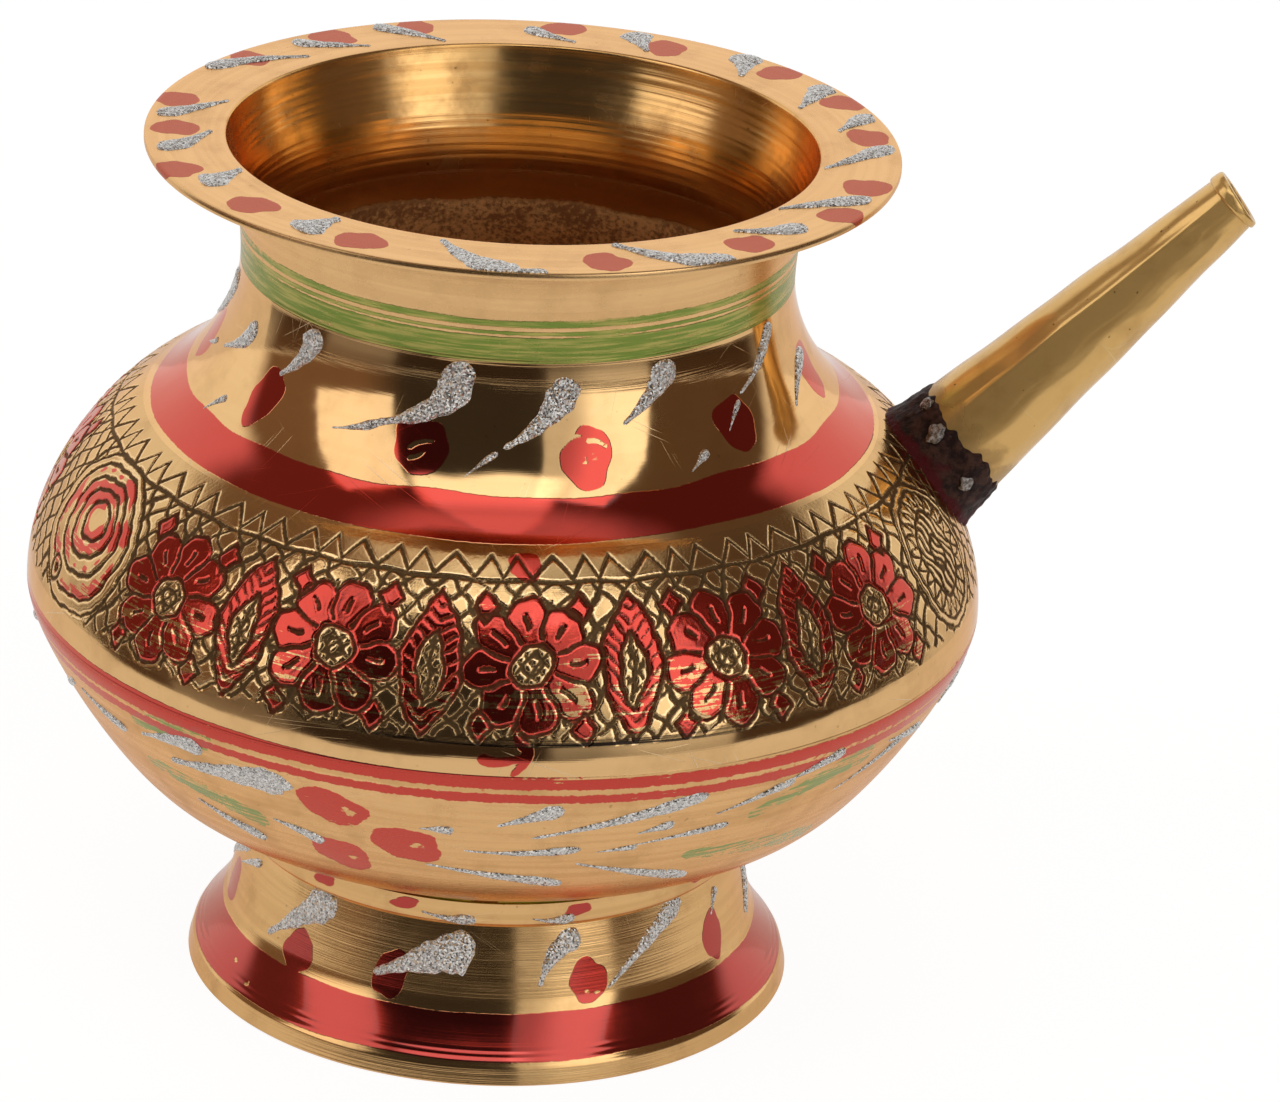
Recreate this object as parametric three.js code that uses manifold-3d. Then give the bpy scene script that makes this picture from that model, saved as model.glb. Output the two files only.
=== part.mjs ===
// A spouted brass lota: a round-bellied ritual water pot with a wide flat rim, a turned foot
// and a straight conical pouring spout. Millimetres, +Z up, the spout along +X. The floor is
// Z = 0, and the origin is under the middle of the whole pot, spout included.

import * as THREE from "three";
import { mergeVertices } from "three/addons/utils/BufferGeometryUtils.js";
import Module from "manifold-3d";

// Foot: a cast and turned hollow pedestal with a short straight collar on top.
const footHeight = 21.4;
const footRadius = 37.3;
const footEdgeHeight = 1;
const footWall = 2;
const collarRadius = 31.3;
const collarHeight = 3.4;
const footFlareIn = 2.15;
const footFlareUp = 4.3;
const collarPull = 9.5;

// Bowl: the lower half of the belly, closed at the bottom.
const bodyWall = 1.6;
const bowlDepth = 28;
const girthRadius = 58;
const bowlBottomPull = 11.5;
const bowlGirthPull = 9.6;

// Shoulder: the upper half of the belly, drawn in to the root of the neck.
const shoulderHeight = 40.8;
const shoulderBreakOut = 11.8;
const shoulderBreakRise = 22.2;
const shoulderBreakAngle = THREE.MathUtils.degToRad(60.7);
const shoulderGirthPull = 8.2;
const shoulderBreakPullDown = 7.5;
const shoulderBreakPullUp = 11.2;
const shoulderNeckPull = 1.5;

// Neck and rim: one cast piece, turned inside and out, with a flat flange round the mouth.
const neckHeight = 15.1;
const neckRadius = 33.2;
const neckWall = 1.5;
const neckFlareOut = 4.3;
const neckPull = 6;
const neckFlarePull = 2.6;
const mouthFlareOut = 2.1;
const mouthDrawIn = 0.9;
const mouthPull = 4.5;
const rimWidth = 9.7;
const rimEdgeThickness = 0.9;
const rimRootThickness = 1.4;
const rimEdgeBevel = 0.25;

// Brazed and soldered joints between the turned pieces.
const seamHeight = 0.4;
const footSolderHeight = 1;
const footSolderInset = 0.5;

// Spout: a cone of rolled sheet brass that stands on the shoulder, with a ring at its mouth.
const spoutRootRise = 16.1;
const spoutElevation = THREE.MathUtils.degToRad(45.4);
const spoutLength = 48;
const spoutRootRadius = 7.6;
const spoutTipRadius = 3.6;
const spoutWall = 0.7;
const spoutHoleRadius = 5.6;
const lipLength = 1.9;
const lipProud = 0.3;
const mouthSlant = THREE.MathUtils.degToRad(8);

// Solder round the spout's root: a fillet against the shoulder that thins to a sleeve.
const solderReach = 5.5;
const solderFeather = 0.35;
const filletReach = 1;
const filletThickness = 0.8;
const filletSpread = 2;

// Lumps left on the solder: how far each one's middle lies below the solder's upper edge,
// and its turn round the spout, in degrees from the upper side towards the front.
const beadRadius = 1.2;
const beads = [
  { name: "solder_bead_upper", drop: 1.4, turn: 20 },
  { name: "solder_bead_middle", drop: 2.2, turn: 51 },
  { name: "solder_bead_lower", drop: 3.6, turn: 105 },
];

// Clearances: where a curved face stands on another, and between the solder and the tube.
const seatGap = 0.3;
const solderGap = 0.1;

// Facets: sides of the turned pieces and of the spout, and steps along each curved outline.
const turnedSides = 48;
const spoutSides = 28;
const curveSteps = 6;
const bowlSteps = 8;

const wasm = await Module();
wasm.setup();

function point(radius, height) {
  return new THREE.Vector2(radius, height);
}

// Points of a cubic curve from start to end, whose ends leave along the two handles.
function curved(start, startHandle, endHandle, end, steps = curveSteps) {
  return new THREE.CubicBezierCurve(start, startHandle, endHandle, end).getPoints(steps);
}

// The same row of points moved sideways by a distance: to the left of its direction if positive.
function offset(points, distance) {
  return points.map((here, index) => {
    const before = points[Math.max(index - 1, 0)];
    const after = points[Math.min(index + 1, points.length - 1)];
    const along = after.clone().sub(before).normalize();
    return point(here.x - along.y * distance, here.y + along.x * distance);
  });
}

// A closed outline of (radius, height) points, swept once round the upright axis. It runs up
// the outside and down the inside, and one that starts on the axis also ends there.
function turned(outline, sides = turnedSides) {
  const startsOnAxis = outline[0].x === 0;
  const profile = startsOnAxis ? outline : [...outline, outline[0]];
  return new THREE.LatheGeometry(profile, sides).rotateX(Math.PI / 2);
}

// A closed geometry as a solid that can be cut.
function solidFrom(geometry) {
  const bare = new THREE.BufferGeometry();
  bare.setAttribute("position", geometry.getAttribute("position"));
  bare.setIndex(geometry.getIndex());
  const merged = mergeVertices(bare, 1e-4);
  const corners = merged.getIndex().array;
  const faces = [];
  for (let i = 0; i < corners.length; i += 3) {
    const [a, b, c] = [corners[i], corners[i + 1], corners[i + 2]];
    if (a !== b && b !== c && c !== a) faces.push(a, b, c);
  }
  const mesh = new wasm.Mesh({
    numProp: 3,
    vertProperties: merged.getAttribute("position").array,
    triVerts: new Uint32Array(faces),
  });
  return new wasm.Manifold(mesh);
}

// A cut solid as a geometry again.
function geometryFrom(solid) {
  const mesh = solid.getMesh();
  const geometry = new THREE.BufferGeometry();
  geometry.setAttribute("position", new THREE.BufferAttribute(mesh.vertProperties, 3));
  geometry.setIndex(new THREE.BufferAttribute(mesh.triVerts, 1));
  geometry.computeVertexNormals();
  return geometry;
}

function piece(name, geometry, material, height = 0) {
  const mesh = new THREE.Mesh(geometry, material);
  mesh.name = name;
  mesh.position.z = height;
  return mesh;
}

// Heights at which the pieces stack up from the floor.
const bowlBase = footHeight + footSolderHeight;
const girthSeamBase = bowlBase + bowlDepth;
const shoulderBase = girthSeamBase + seamHeight;
const neckSeamBase = shoulderBase + shoulderHeight;
const neckBase = neckSeamBase + seamHeight;

const turnedBrass = new THREE.MeshStandardMaterial({
  color: 0xdcb98a,
  roughness: 0.35,
  metalness: 1,
});
const polishedBrass = new THREE.MeshStandardMaterial({
  color: 0xc9a869,
  roughness: 0.12,
  metalness: 1,
});
const footBrass = new THREE.MeshStandardMaterial({
  color: 0xcfae78,
  roughness: 0.18,
  metalness: 1,
});
const sheetBrass = new THREE.MeshStandardMaterial({
  color: 0xd9a84a,
  roughness: 0.15,
  metalness: 1,
});
const brazing = new THREE.MeshStandardMaterial({
  color: 0xb98b4c,
  roughness: 0.45,
  metalness: 1,
});
const burntSolder = new THREE.MeshStandardMaterial({
  color: 0x40332c,
  roughness: 0.6,
  metalness: 0.6,
});
const brightSolder = new THREE.MeshStandardMaterial({
  color: 0xa8a8a2,
  roughness: 0.4,
  metalness: 1,
});

// Foot: a concave flare from the floor edge to the collar, hollow underneath.
function footRing() {
  const flareTop = footHeight - collarHeight;
  const flare = curved(
    point(footRadius, footEdgeHeight),
    point(footRadius - footFlareIn, footEdgeHeight + footFlareUp),
    point(collarRadius, flareTop - collarPull),
    point(collarRadius, flareTop),
  );
  const outside = [point(footRadius, 0), ...flare, point(collarRadius, footHeight)];
  const inside = offset([...flare, point(collarRadius, footHeight)], footWall);
  inside[0] = point(footRadius - footWall, 0);
  inside[inside.length - 1] = point(collarRadius - footWall, footHeight);
  return turned([...outside, ...inside.reverse()]);
}

// Solder that fills the groove between the collar and the underside of the bowl.
function footSolder() {
  const inner = collarRadius - footWall;
  const outer = collarRadius - footSolderInset;
  return turned([
    point(inner, 0),
    point(outer, 0),
    point(outer, footSolderHeight),
    point(inner, footSolderHeight),
  ]);
}

// Bowl: a flat bottom as wide as the foot's collar, then a round wall out to the girth.
function bowl() {
  const wallOutside = curved(
    point(collarRadius, 0),
    point(collarRadius + bowlBottomPull, 0),
    point(girthRadius, bowlDepth - bowlGirthPull),
    point(girthRadius, bowlDepth),
    bowlSteps,
  );
  const wallInside = offset(wallOutside, bodyWall);
  wallInside[0] = point(collarRadius, bodyWall);
  wallInside[bowlSteps] = point(girthRadius - bodyWall, bowlDepth);
  const outside = [point(0, 0), ...wallOutside];
  return turned([...outside, ...wallInside.reverse(), point(0, bodyWall)]);
}

// A brazed seam: a thin ring as wide as the wall that it joins.
function seam(outerRadius, wall) {
  return turned([
    point(outerRadius - wall, 0),
    point(outerRadius, 0),
    point(outerRadius, seamHeight),
    point(outerRadius - wall, seamHeight),
  ]);
}

// The outside of the shoulder: round from the girth to a break, then hollow up to the neck.
function shoulderOutside() {
  const girth = point(girthRadius, 0);
  const girthHandle = point(girthRadius, shoulderGirthPull);
  const breakPoint = point(neckRadius + shoulderBreakOut, shoulderBreakRise);
  const slope = point(-Math.sin(shoulderBreakAngle), Math.cos(shoulderBreakAngle));
  const belowBreak = breakPoint.clone().addScaledVector(slope, -shoulderBreakPullDown);
  const aboveBreak = breakPoint.clone().addScaledVector(slope, shoulderBreakPullUp);
  const neckHandle = point(neckRadius, shoulderHeight - shoulderNeckPull);
  const neckRoot = point(neckRadius, shoulderHeight);
  const belly = curved(girth, girthHandle, belowBreak, breakPoint);
  const throat = curved(breakPoint, aboveBreak, neckHandle, neckRoot);
  return [...belly, ...throat.slice(1)];
}

// Radius of a row of outline points at a height between two of them.
function radiusAt(points, height) {
  const upper = points.findIndex((here) => here.y >= height);
  const above = points[upper];
  const below = points[upper - 1];
  const share = (height - below.y) / (above.y - below.y);
  return below.x + (above.x - below.x) * share;
}

const shoulderLine = shoulderOutside();

function shoulderShell() {
  const inside = offset(shoulderLine, bodyWall);
  inside[0] = point(girthRadius - bodyWall, 0);
  inside[inside.length - 1] = point(neckRadius - neckWall, shoulderHeight);
  return turned([...shoulderLine, ...inside.reverse()]);
}

// The shoulder's outer form as a filled solid grown by the seat gap: what stands on it is
// trimmed by this.
function shoulderFilled() {
  const grown = offset(shoulderLine, -seatGap);
  const bottom = point(0, grown[0].y);
  const top = point(0, grown[grown.length - 1].y);
  return turned([bottom, ...grown, top]);
}

// Neck and rim: the wall hollows out to the underside of the flange, and the bore widens
// from the neck to the edge of the mouth.
function neckRim() {
  const mouthRadius = neckRadius + mouthFlareOut;
  const rimRadius = mouthRadius + rimWidth;
  const flareEnd = point(neckRadius + neckFlareOut, neckHeight - rimRootThickness);
  const outside = curved(
    point(neckRadius, 0),
    point(neckRadius, neckPull),
    point(neckRadius + neckFlareOut - neckFlarePull, flareEnd.y),
    flareEnd,
  );
  const bore = curved(
    point(mouthRadius, neckHeight),
    point(mouthRadius - mouthDrawIn, neckHeight - mouthPull),
    point(neckRadius - neckWall, neckPull),
    point(neckRadius - neckWall, 0),
  );
  const flangeEdge = [
    point(rimRadius - rimEdgeBevel, neckHeight - rimEdgeThickness),
    point(rimRadius, neckHeight - rimEdgeThickness + rimEdgeBevel),
    point(rimRadius, neckHeight - rimEdgeBevel),
    point(rimRadius - rimEdgeBevel, neckHeight),
  ];
  return turned([...outside, ...flangeEdge, ...bore]);
}

// The spout's own frame: its origin is where its axis leaves the shoulder, and its +Z runs
// out along the spout.
const spoutRootOut = radiusAt(shoulderLine, spoutRootRise);
const spout = new THREE.Group();
spout.position.set(spoutRootOut, 0, shoulderBase + spoutRootRise);
spout.rotation.y = Math.PI / 2 - spoutElevation;
spout.updateMatrix();

// Geometry from the shoulder's frame, seen in the spout's frame, and the other way round.
const shoulderToSpout = spout.matrix
  .clone()
  .invert()
  .multiply(new THREE.Matrix4().makeTranslation(0, 0, shoulderBase));
const spoutToShoulder = shoulderToSpout.clone().invert();
const shoulderTrim = solidFrom(shoulderFilled().applyMatrix4(shoulderToSpout));

// Radius of the cone's outside at a distance along its axis, the root centre being zero.
function coneRadius(along) {
  return spoutRootRadius + ((spoutTipRadius - spoutRootRadius) * along) / spoutLength;
}

// A sleeve between two cones, from one distance along the axis to another. Each cone is
// given by how far it stands outside the spout's own cone at the start and at the end.
function coneSleeve(from, to, inner, outer) {
  return turned(
    [
      point(coneRadius(from) + inner[0], from),
      point(coneRadius(from) + outer[0], from),
      point(coneRadius(to) + outer[1], to),
      point(coneRadius(to) + inner[1], to),
    ],
    spoutSides,
  );
}

// The tube is made too long at its root, and the shoulder's round face trims it to a saddle.
function spoutTube() {
  const overlong = coneSleeve(-spoutRootRadius, spoutLength, [-spoutWall, -spoutWall], [0, 0]);
  return geometryFrom(solidFrom(overlong).subtract(shoulderTrim));
}

// The ring at the mouth: it stands on the end of the tube and is cut slanting, so that its
// upper edge reaches further than its lower one.
function spoutLip() {
  const end = spoutLength + lipLength;
  const ring = coneSleeve(spoutLength, end, [-spoutWall, -spoutWall], [lipProud, lipProud]);
  const knifeSize = 4 * (spoutTipRadius + lipProud);
  const knife = new THREE.BoxGeometry(knifeSize, knifeSize, knifeSize);
  const lift = (spoutTipRadius + lipProud) * Math.sin(mouthSlant);
  knife.translate(0, 0, knifeSize / 2);
  knife.rotateY(mouthSlant);
  knife.translate(0, 0, end - lift);
  return geometryFrom(solidFrom(ring).subtract(solidFrom(knife)));
}

// Outline of the solder's outer side: out along the shoulder below the root, in over the
// fillet, then up the tube to a thin edge. It can be grown by a distance.
function solderOutside(grown = 0) {
  const foot = -spoutRootRadius / 2;
  const spread = filletThickness + filletSpread;
  return [
    point(coneRadius(foot) + spread + grown, foot),
    point(coneRadius(filletReach) + filletThickness + grown, filletReach),
    point(coneRadius(solderReach) + solderFeather + grown, solderReach + grown),
  ];
}

// Solder drawn up round the root of the tube, and trimmed to the shoulder like the tube.
function spoutSolder() {
  const outside = solderOutside();
  const inside = [
    point(coneRadius(solderReach) + solderGap, solderReach),
    point(coneRadius(outside[0].y) + solderGap, outside[0].y),
  ];
  const overlong = turned([...outside, ...inside], spoutSides);
  return geometryFrom(solidFrom(overlong).subtract(shoulderTrim));
}

// A lump of solder: the part of a ball that stands out of the solder sleeve.
function solderBead(bead) {
  const turn = THREE.MathUtils.degToRad(bead.turn);
  const along = solderReach - bead.drop;
  const out = coneRadius(along) + solderFeather + seatGap;
  const ball = new THREE.SphereGeometry(beadRadius, 12, 8);
  ball.translate(-Math.cos(turn) * out, -Math.sin(turn) * out, along);
  const grown = solderOutside(seatGap);
  const core = turned([point(0, grown[0].y), ...grown, point(0, grown[2].y)], spoutSides);
  return geometryFrom(solidFrom(ball).subtract(solidFrom(core)));
}

// The hole in the shoulder behind the spout, drilled along the spout's axis.
function shoulderWithHole() {
  const drillLength = 2 * spoutRootRadius;
  const drill = new THREE.CylinderGeometry(
    spoutHoleRadius,
    spoutHoleRadius,
    drillLength,
    spoutSides,
  );
  drill.rotateX(Math.PI / 2);
  drill.applyMatrix4(spoutToShoulder);
  return geometryFrom(solidFrom(shoulderShell()).subtract(solidFrom(drill)));
}

spout.add(
  piece("spout_tube", spoutTube(), sheetBrass),
  piece("spout_lip", spoutLip(), sheetBrass),
  piece("spout_solder", spoutSolder(), burntSolder),
);
for (const bead of beads) {
  spout.add(piece(bead.name, solderBead(bead), brightSolder));
}

const lota = new THREE.Group();
lota.add(
  piece("foot_ring", footRing(), footBrass),
  piece("foot_solder", footSolder(), brazing, footHeight),
  piece("bowl", bowl(), turnedBrass, bowlBase),
  piece("girth_seam", seam(girthRadius, bodyWall), brazing, girthSeamBase),
  piece("shoulder", shoulderWithHole(), polishedBrass, shoulderBase),
  piece("neck_seam", seam(neckRadius, neckWall), brazing, neckSeamBase),
  piece("neck_rim", neckRim(), turnedBrass, neckBase),
  spout,
);

// The pot's upright axis is moved back along X, so that the origin is under the middle of
// the whole length from the belly to the spout's mouth.
const reach = new THREE.Box3().setFromObject(lota, true);
lota.position.x = -(reach.min.x + reach.max.x) / 2;

export default lota;
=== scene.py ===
"""A spouted brass lota: a round-bellied water pot, cast and turned, with a spout of rolled
sheet. It is engraved round its belly, and painted with red and green lacquer and strokes of
silver glitter.

Lengths are in millimetres until a mesh is made. A turn is an angle round the pot's upright
axis in degrees: 0 faces the viewer and it grows to the viewer's right, so the spout, which
points along +X, stands at the turn named spout_turn.
"""

import math

import bpy
import numpy as np
from mathutils import Matrix, Vector


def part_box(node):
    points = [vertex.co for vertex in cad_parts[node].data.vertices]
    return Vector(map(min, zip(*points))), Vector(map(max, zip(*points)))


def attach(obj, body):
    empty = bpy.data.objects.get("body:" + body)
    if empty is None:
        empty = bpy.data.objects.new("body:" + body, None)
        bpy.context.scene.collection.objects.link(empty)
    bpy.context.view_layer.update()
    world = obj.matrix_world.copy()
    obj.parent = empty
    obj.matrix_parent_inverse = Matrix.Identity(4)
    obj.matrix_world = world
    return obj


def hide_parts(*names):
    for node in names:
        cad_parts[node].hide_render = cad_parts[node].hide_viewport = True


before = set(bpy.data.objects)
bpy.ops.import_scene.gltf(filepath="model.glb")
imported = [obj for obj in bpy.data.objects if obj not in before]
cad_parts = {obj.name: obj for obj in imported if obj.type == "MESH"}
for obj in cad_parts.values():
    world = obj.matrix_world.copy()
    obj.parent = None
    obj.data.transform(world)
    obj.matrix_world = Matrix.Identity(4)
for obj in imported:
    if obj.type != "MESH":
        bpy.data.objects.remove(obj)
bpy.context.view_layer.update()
MM = 0.001

# The camera. It looks down on the pot from the front and a little from the spout's far side,
# through a long lens, and is tilted slightly about its own line of sight.
bowl_low, bowl_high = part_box("bowl")
axis_x = (bowl_low.x + bowl_high.x) / 2 / MM
spout_turn = 94.0
camera_reach = 722.5
camera_lift = 362.1
camera_pitch = math.radians(23.037)
camera_yaw = math.radians(5.304)
camera_roll = math.radians(3.132)
camera_lens = 181.08
camera_sensor = 36.0

front_angle = math.radians(-spout_turn)
sight = Vector(
    (
        math.sin(camera_yaw) * math.cos(camera_pitch),
        math.cos(camera_yaw) * math.cos(camera_pitch),
        -math.sin(camera_pitch),
    )
)
level = Vector((math.cos(camera_yaw), -math.sin(camera_yaw), 0))
upward = level.cross(sight)
camera_right = math.cos(camera_roll) * level + math.sin(camera_roll) * upward
camera_up = math.cos(camera_roll) * upward - math.sin(camera_roll) * level
camera_data = bpy.data.cameras.new("studio_camera")
camera_data.lens = camera_lens
camera_data.sensor_width = camera_sensor
camera_data.clip_start = 0.01
camera_data.clip_end = 20
camera = bpy.data.objects.new("studio_camera", camera_data)
bpy.context.scene.collection.objects.link(camera)
camera_turned = Matrix((camera_right, camera_up, -sight)).transposed().to_4x4()
camera_out = camera_reach * np.array((math.cos(front_angle), math.sin(front_angle)))
camera_place = Vector((axis_x + camera_out[0], camera_out[1], camera_lift))
camera.matrix_world = Matrix.Translation(camera_place * MM) @ camera_turned
bpy.context.scene.camera = camera
bpy.context.scene.view_settings.view_transform = "Standard"


# The room. A white sweep stands behind the pot, two tall soft lamps stand left and right of
# the camera, a pale ceiling closes the room, and the rest of the camera's side is dim.
def node(tree, kind, inputs=(), **settings):
    """A new shader node. Settings are its own properties, and each input is given a plain
    value or another node's output."""
    made = tree.nodes.new("ShaderNode" + kind)
    for name, value in settings.items():
        setattr(made, name, value)
    for key, value in dict(inputs).items():
        if isinstance(value, bpy.types.NodeSocket):
            tree.links.new(value, made.inputs[key])
        else:
            made.inputs[key].default_value = value
    return made


def sums(tree, operation, *values):
    """The output of one Math node, such as ADD or MULTIPLY, on the values given."""
    return node(tree, "Math", enumerate(values), operation=operation).outputs[0]


def weighed(tree, start, *terms):
    """A start value, plus each term's value times its weight."""
    for value, weight in terms:
        start = sums(tree, "MULTIPLY_ADD", value, weight, start)
    return start


def slide(tree, value, low, high, to_low=0.0, to_high=1.0):
    """A smooth step: to_low while the value is under low, to_high once it is over high."""
    inputs = {0: value, 1: low, 2: high, 3: to_low, 4: to_high}
    return node(tree, "MapRange", inputs, interpolation_type="SMOOTHSTEP").outputs[0]


def mixed(tree, share, first, second):
    """A colour that goes from the first to the second as the share goes from 0 to 1."""
    inputs = {0: share, 6: first, 7: second}
    return node(tree, "Mix", inputs, data_type="RGBA").outputs[2]


def grey(value):
    """An opaque grey: the same value for red, green and blue."""
    return (value, value, value, 1)


def within(tree, value, low, high, edge):
    """1 between low and high, 0 outside, with edges that soften over a width."""
    rise = slide(tree, value, low - edge, low + edge)
    fall = slide(tree, value, high - edge, high + edge, 1.0, 0.0)
    return sums(tree, "MULTIPLY", rise, fall)


def lamp_face(tree, turn, lift, turns, heights):
    """The face of a soft lamp: 1 between two turns and two heights, and 0 outside them."""
    across = within(tree, turn, *turns, lamp_edge)
    return sums(tree, "MULTIPLY", across, within(tree, lift, *heights, lamp_edge))


def seen_rays(tree):
    """Two masks of the rays that reach a surface: 1 for those straight from the eye, and 1
    for those by way of bright metal or glass."""
    ray = node(tree, "LightPath").outputs
    mirrored = sums(tree, "MAXIMUM", ray["Is Glossy Ray"], ray["Is Transmission Ray"])
    return ray["Is Camera Ray"], mirrored


def studio_world():
    """The room's light as a function of direction: each lamp is a patch of turns and heights
    above the horizon, in degrees, with its own strength."""
    world = bpy.data.worlds.new("studio_room")
    world.use_nodes = True
    tree = world.node_tree
    tree.nodes.clear()
    looked = node(tree, "TexCoord").outputs["Generated"]
    inputs = {"Vector": looked, "Rotation": (0, 0, math.radians(spout_turn))}
    faced = node(tree, "Mapping", inputs, vector_type="VECTOR")
    parts = node(tree, "SeparateXYZ", {0: faced.outputs[0]}).outputs
    turn = sums(tree, "DEGREES", sums(tree, "ARCTAN2", parts["Y"], parts["X"]))
    lift = sums(tree, "DEGREES", sums(tree, "ARCSINE", parts["Z"]))
    away = sums(tree, "ABSOLUTE", turn)

    left = lamp_face(tree, turn, lift, *left_lamp)
    right = lamp_face(tree, turn, lift, *right_lamp)
    right = sums(tree, "MULTIPLY", right, slide(tree, turn, 20, 36, 0.45, 1.0))
    ceiling = sums(tree, "MULTIPLY", within(tree, turn, -44, 24, 5), slide(tree, lift, 48, 53))
    ceiling = sums(tree, "MULTIPLY", ceiling, slide(tree, lift, 64, 74, 1.0, 0.3))
    zenith = slide(tree, lift, 62, 78)
    sweep = slide(tree, away, 106, 118)
    sweep = sums(tree, "MULTIPLY", sweep, slide(tree, lift, 30, 46, 1.0, 0.0))

    lamps = ((left, 1.15), (right, 1.5), (ceiling, 1.5), (zenith, 0.62), (sweep, 0.94))
    light = weighed(tree, 0.0, *lamps)
    room = mixed(tree, slide(tree, turn, 40, 64), room_dim, room_right)
    room = mixed(tree, slide(tree, turn, -64, -40, 1.0, 0.0), room, room_left)
    lit = node(tree, "CombineXYZ", {0: light, 1: light, 2: light}).outputs[0]
    colour = node(tree, "VectorMath", {0: room, 1: lit}, operation="ADD").outputs[0]
    looked_at, mirrored = seen_rays(tree)
    plain = sums(tree, "MAXIMUM", looked_at, sums(tree, "MULTIPLY", mirrored, sweep))
    backdrop = node(tree, "Background", {"Color": mixed(tree, plain, colour, grey(1.0))})
    node(tree, "OutputWorld", {"Surface": backdrop.outputs[0]})
    return world


def finish_of(name, **plain):
    """A material with a Principled shader, whose own sockets take the plain values: the
    material, its nodes and the shader. An underscore in a value's name is a space."""
    material = bpy.data.materials.new(name)
    material.use_nodes = True
    shader = material.node_tree.nodes["Principled BSDF"]
    for label, value in plain.items():
        shader.inputs[label.replace("_", " ")].default_value = value
    return material, material.node_tree, shader


def set_out(name, points, faces, material):
    """A plain object in the room, from points in metres and its faces."""
    mesh = bpy.data.meshes.new(name)
    mesh.from_pydata(points.tolist(), [], faces)
    mesh.materials.append(material)
    made = bpy.data.objects.new(name, mesh)
    bpy.context.scene.collection.objects.link(made)
    return made


def pale_floor(radius, colour):
    """A round floor at the height zero, matt and pale. A share of white is mixed over it, a
    large one to the eye and a smaller one in the metal, and the pot's soft shadow is kept."""
    steps = np.linspace(0, 2 * np.pi, 96, endpoint=False)
    rim = np.stack([np.cos(steps), np.sin(steps), 0 * steps], 1) * radius
    material, tree, shader = finish_of(
        "pale_floor", Base_Color=colour, Roughness=0.9, Specular_IOR_Level=0.1
    )
    looked_at, mirrored = seen_rays(tree)
    mirrored = sums(tree, "MULTIPLY", mirrored, white_mirrored)
    looked_at = sums(tree, "MULTIPLY", looked_at, white_seen)
    lifted = sums(tree, "MAXIMUM", looked_at, mirrored)
    white = node(tree, "Emission", {"Color": grey(1.0), "Strength": white_glow}).outputs[0]
    blend = node(tree, "MixShader", {0: lifted, 1: shader.outputs[0], 2: white})
    tree.links.new(blend.outputs[0], tree.nodes["Material Output"].inputs["Surface"])
    floor = set_out("studio_floor", rim, [list(range(len(rim)))], material)


def dark_table(inner, outer):
    """The glossy dark table past the front edge of the white sheet, which only the metal's
    reflections show."""
    steps = np.radians(np.linspace(-112, 112, 57)) + front_angle
    ring = np.stack([np.cos(steps), np.sin(steps), 0 * steps + 0.0004], 1)
    near, far = ring * (inner, inner, 1), ring * (outer, outer, 1)
    count = len(steps)
    faces = [(i, count + i, count + i + 1, i + 1) for i in range(count - 1)]
    material = finish_of("dark_table", Base_Color=table_brown, Roughness=0.22)[0]
    table = set_out("studio_table", np.vstack([near, far]), faces, material)
    table.visible_camera = False
    table.visible_diffuse = False
    table.visible_shadow = False


left_lamp = ((-81, -47), (11, 57))
right_lamp = ((13, 55), (2, 64))
lamp_edge = 0.8
room_dim = (0.040, 0.034, 0.030, 1)
room_right = (0.11, 0.072, 0.05, 1)
room_left = (0.20, 0.125, 0.085, 1)
floor_radius = 4.0
floor_grey = 0.93
white_seen, white_mirrored, white_glow = 0.84, 0.42, 1.1
sheet_edge, table_edge = 0.30, 2.5
table_brown = (0.05, 0.03, 0.02, 1)
bpy.context.scene.world = studio_world()
pale_floor(floor_radius, grey(floor_grey))
dark_table(sheet_edge, table_edge)


# The foot. A hollow pedestal of cast brass, turned bright on the lathe, with a plain edge,
# a red lacquered band over fine turned grooves, and a short collar on which the bowl sits.
def curve(start, start_pull, end_pull, end, steps):
    """Points of a cubic curve of (radius, height), with a handle at each end."""
    share = np.linspace(0, 1, steps + 1)[:, None]
    rest = 1 - share
    ends = rest**3 * np.array(start) + share**3 * np.array(end)
    pulls = 3 * rest**2 * share * np.array(start_pull) + 3 * rest * share**2 * np.array(end_pull)
    return ends + pulls


def line(start, end, steps):
    """Evenly spaced points from start to end, the end left out."""
    share = np.linspace(0, 1, steps, endpoint=False)[:, None]
    return (1 - share) * np.array(start) + share * np.array(end)


def outward(outline, closed=True):
    """Unit normals of an outline that runs up its outer side: each is square to the chord
    between a point's two neighbours."""
    if closed:
        chord = np.roll(outline, -1, 0) - np.roll(outline, 1, 0)
    else:
        chord = np.gradient(outline, axis=0)
    chord /= np.linalg.norm(chord, axis=1, keepdims=True)
    return np.stack([chord[:, 1], -chord[:, 0]], 1)


def run_along(outline):
    """Distance run along an outline at each of its points."""
    return np.r_[0, np.cumsum(np.linalg.norm(np.diff(outline, axis=0), axis=1))]


def swept(outline, turns, raised=0.0, closed=True):
    """A grid of points, outline rows by turn columns: the outline swept round the pot's axis
    and raised along its normals."""
    normals = outward(outline, closed)
    radius = outline[:, :1] + normals[:, :1] * raised
    height = outline[:, 1:] + normals[:, 1:] * raised
    angle = np.radians(turns) + front_angle
    width = radius + 0 * angle
    return np.stack(
        [axis_x + width * np.cos(angle), width * np.sin(angle), height + 0 * width], -1
    )


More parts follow.
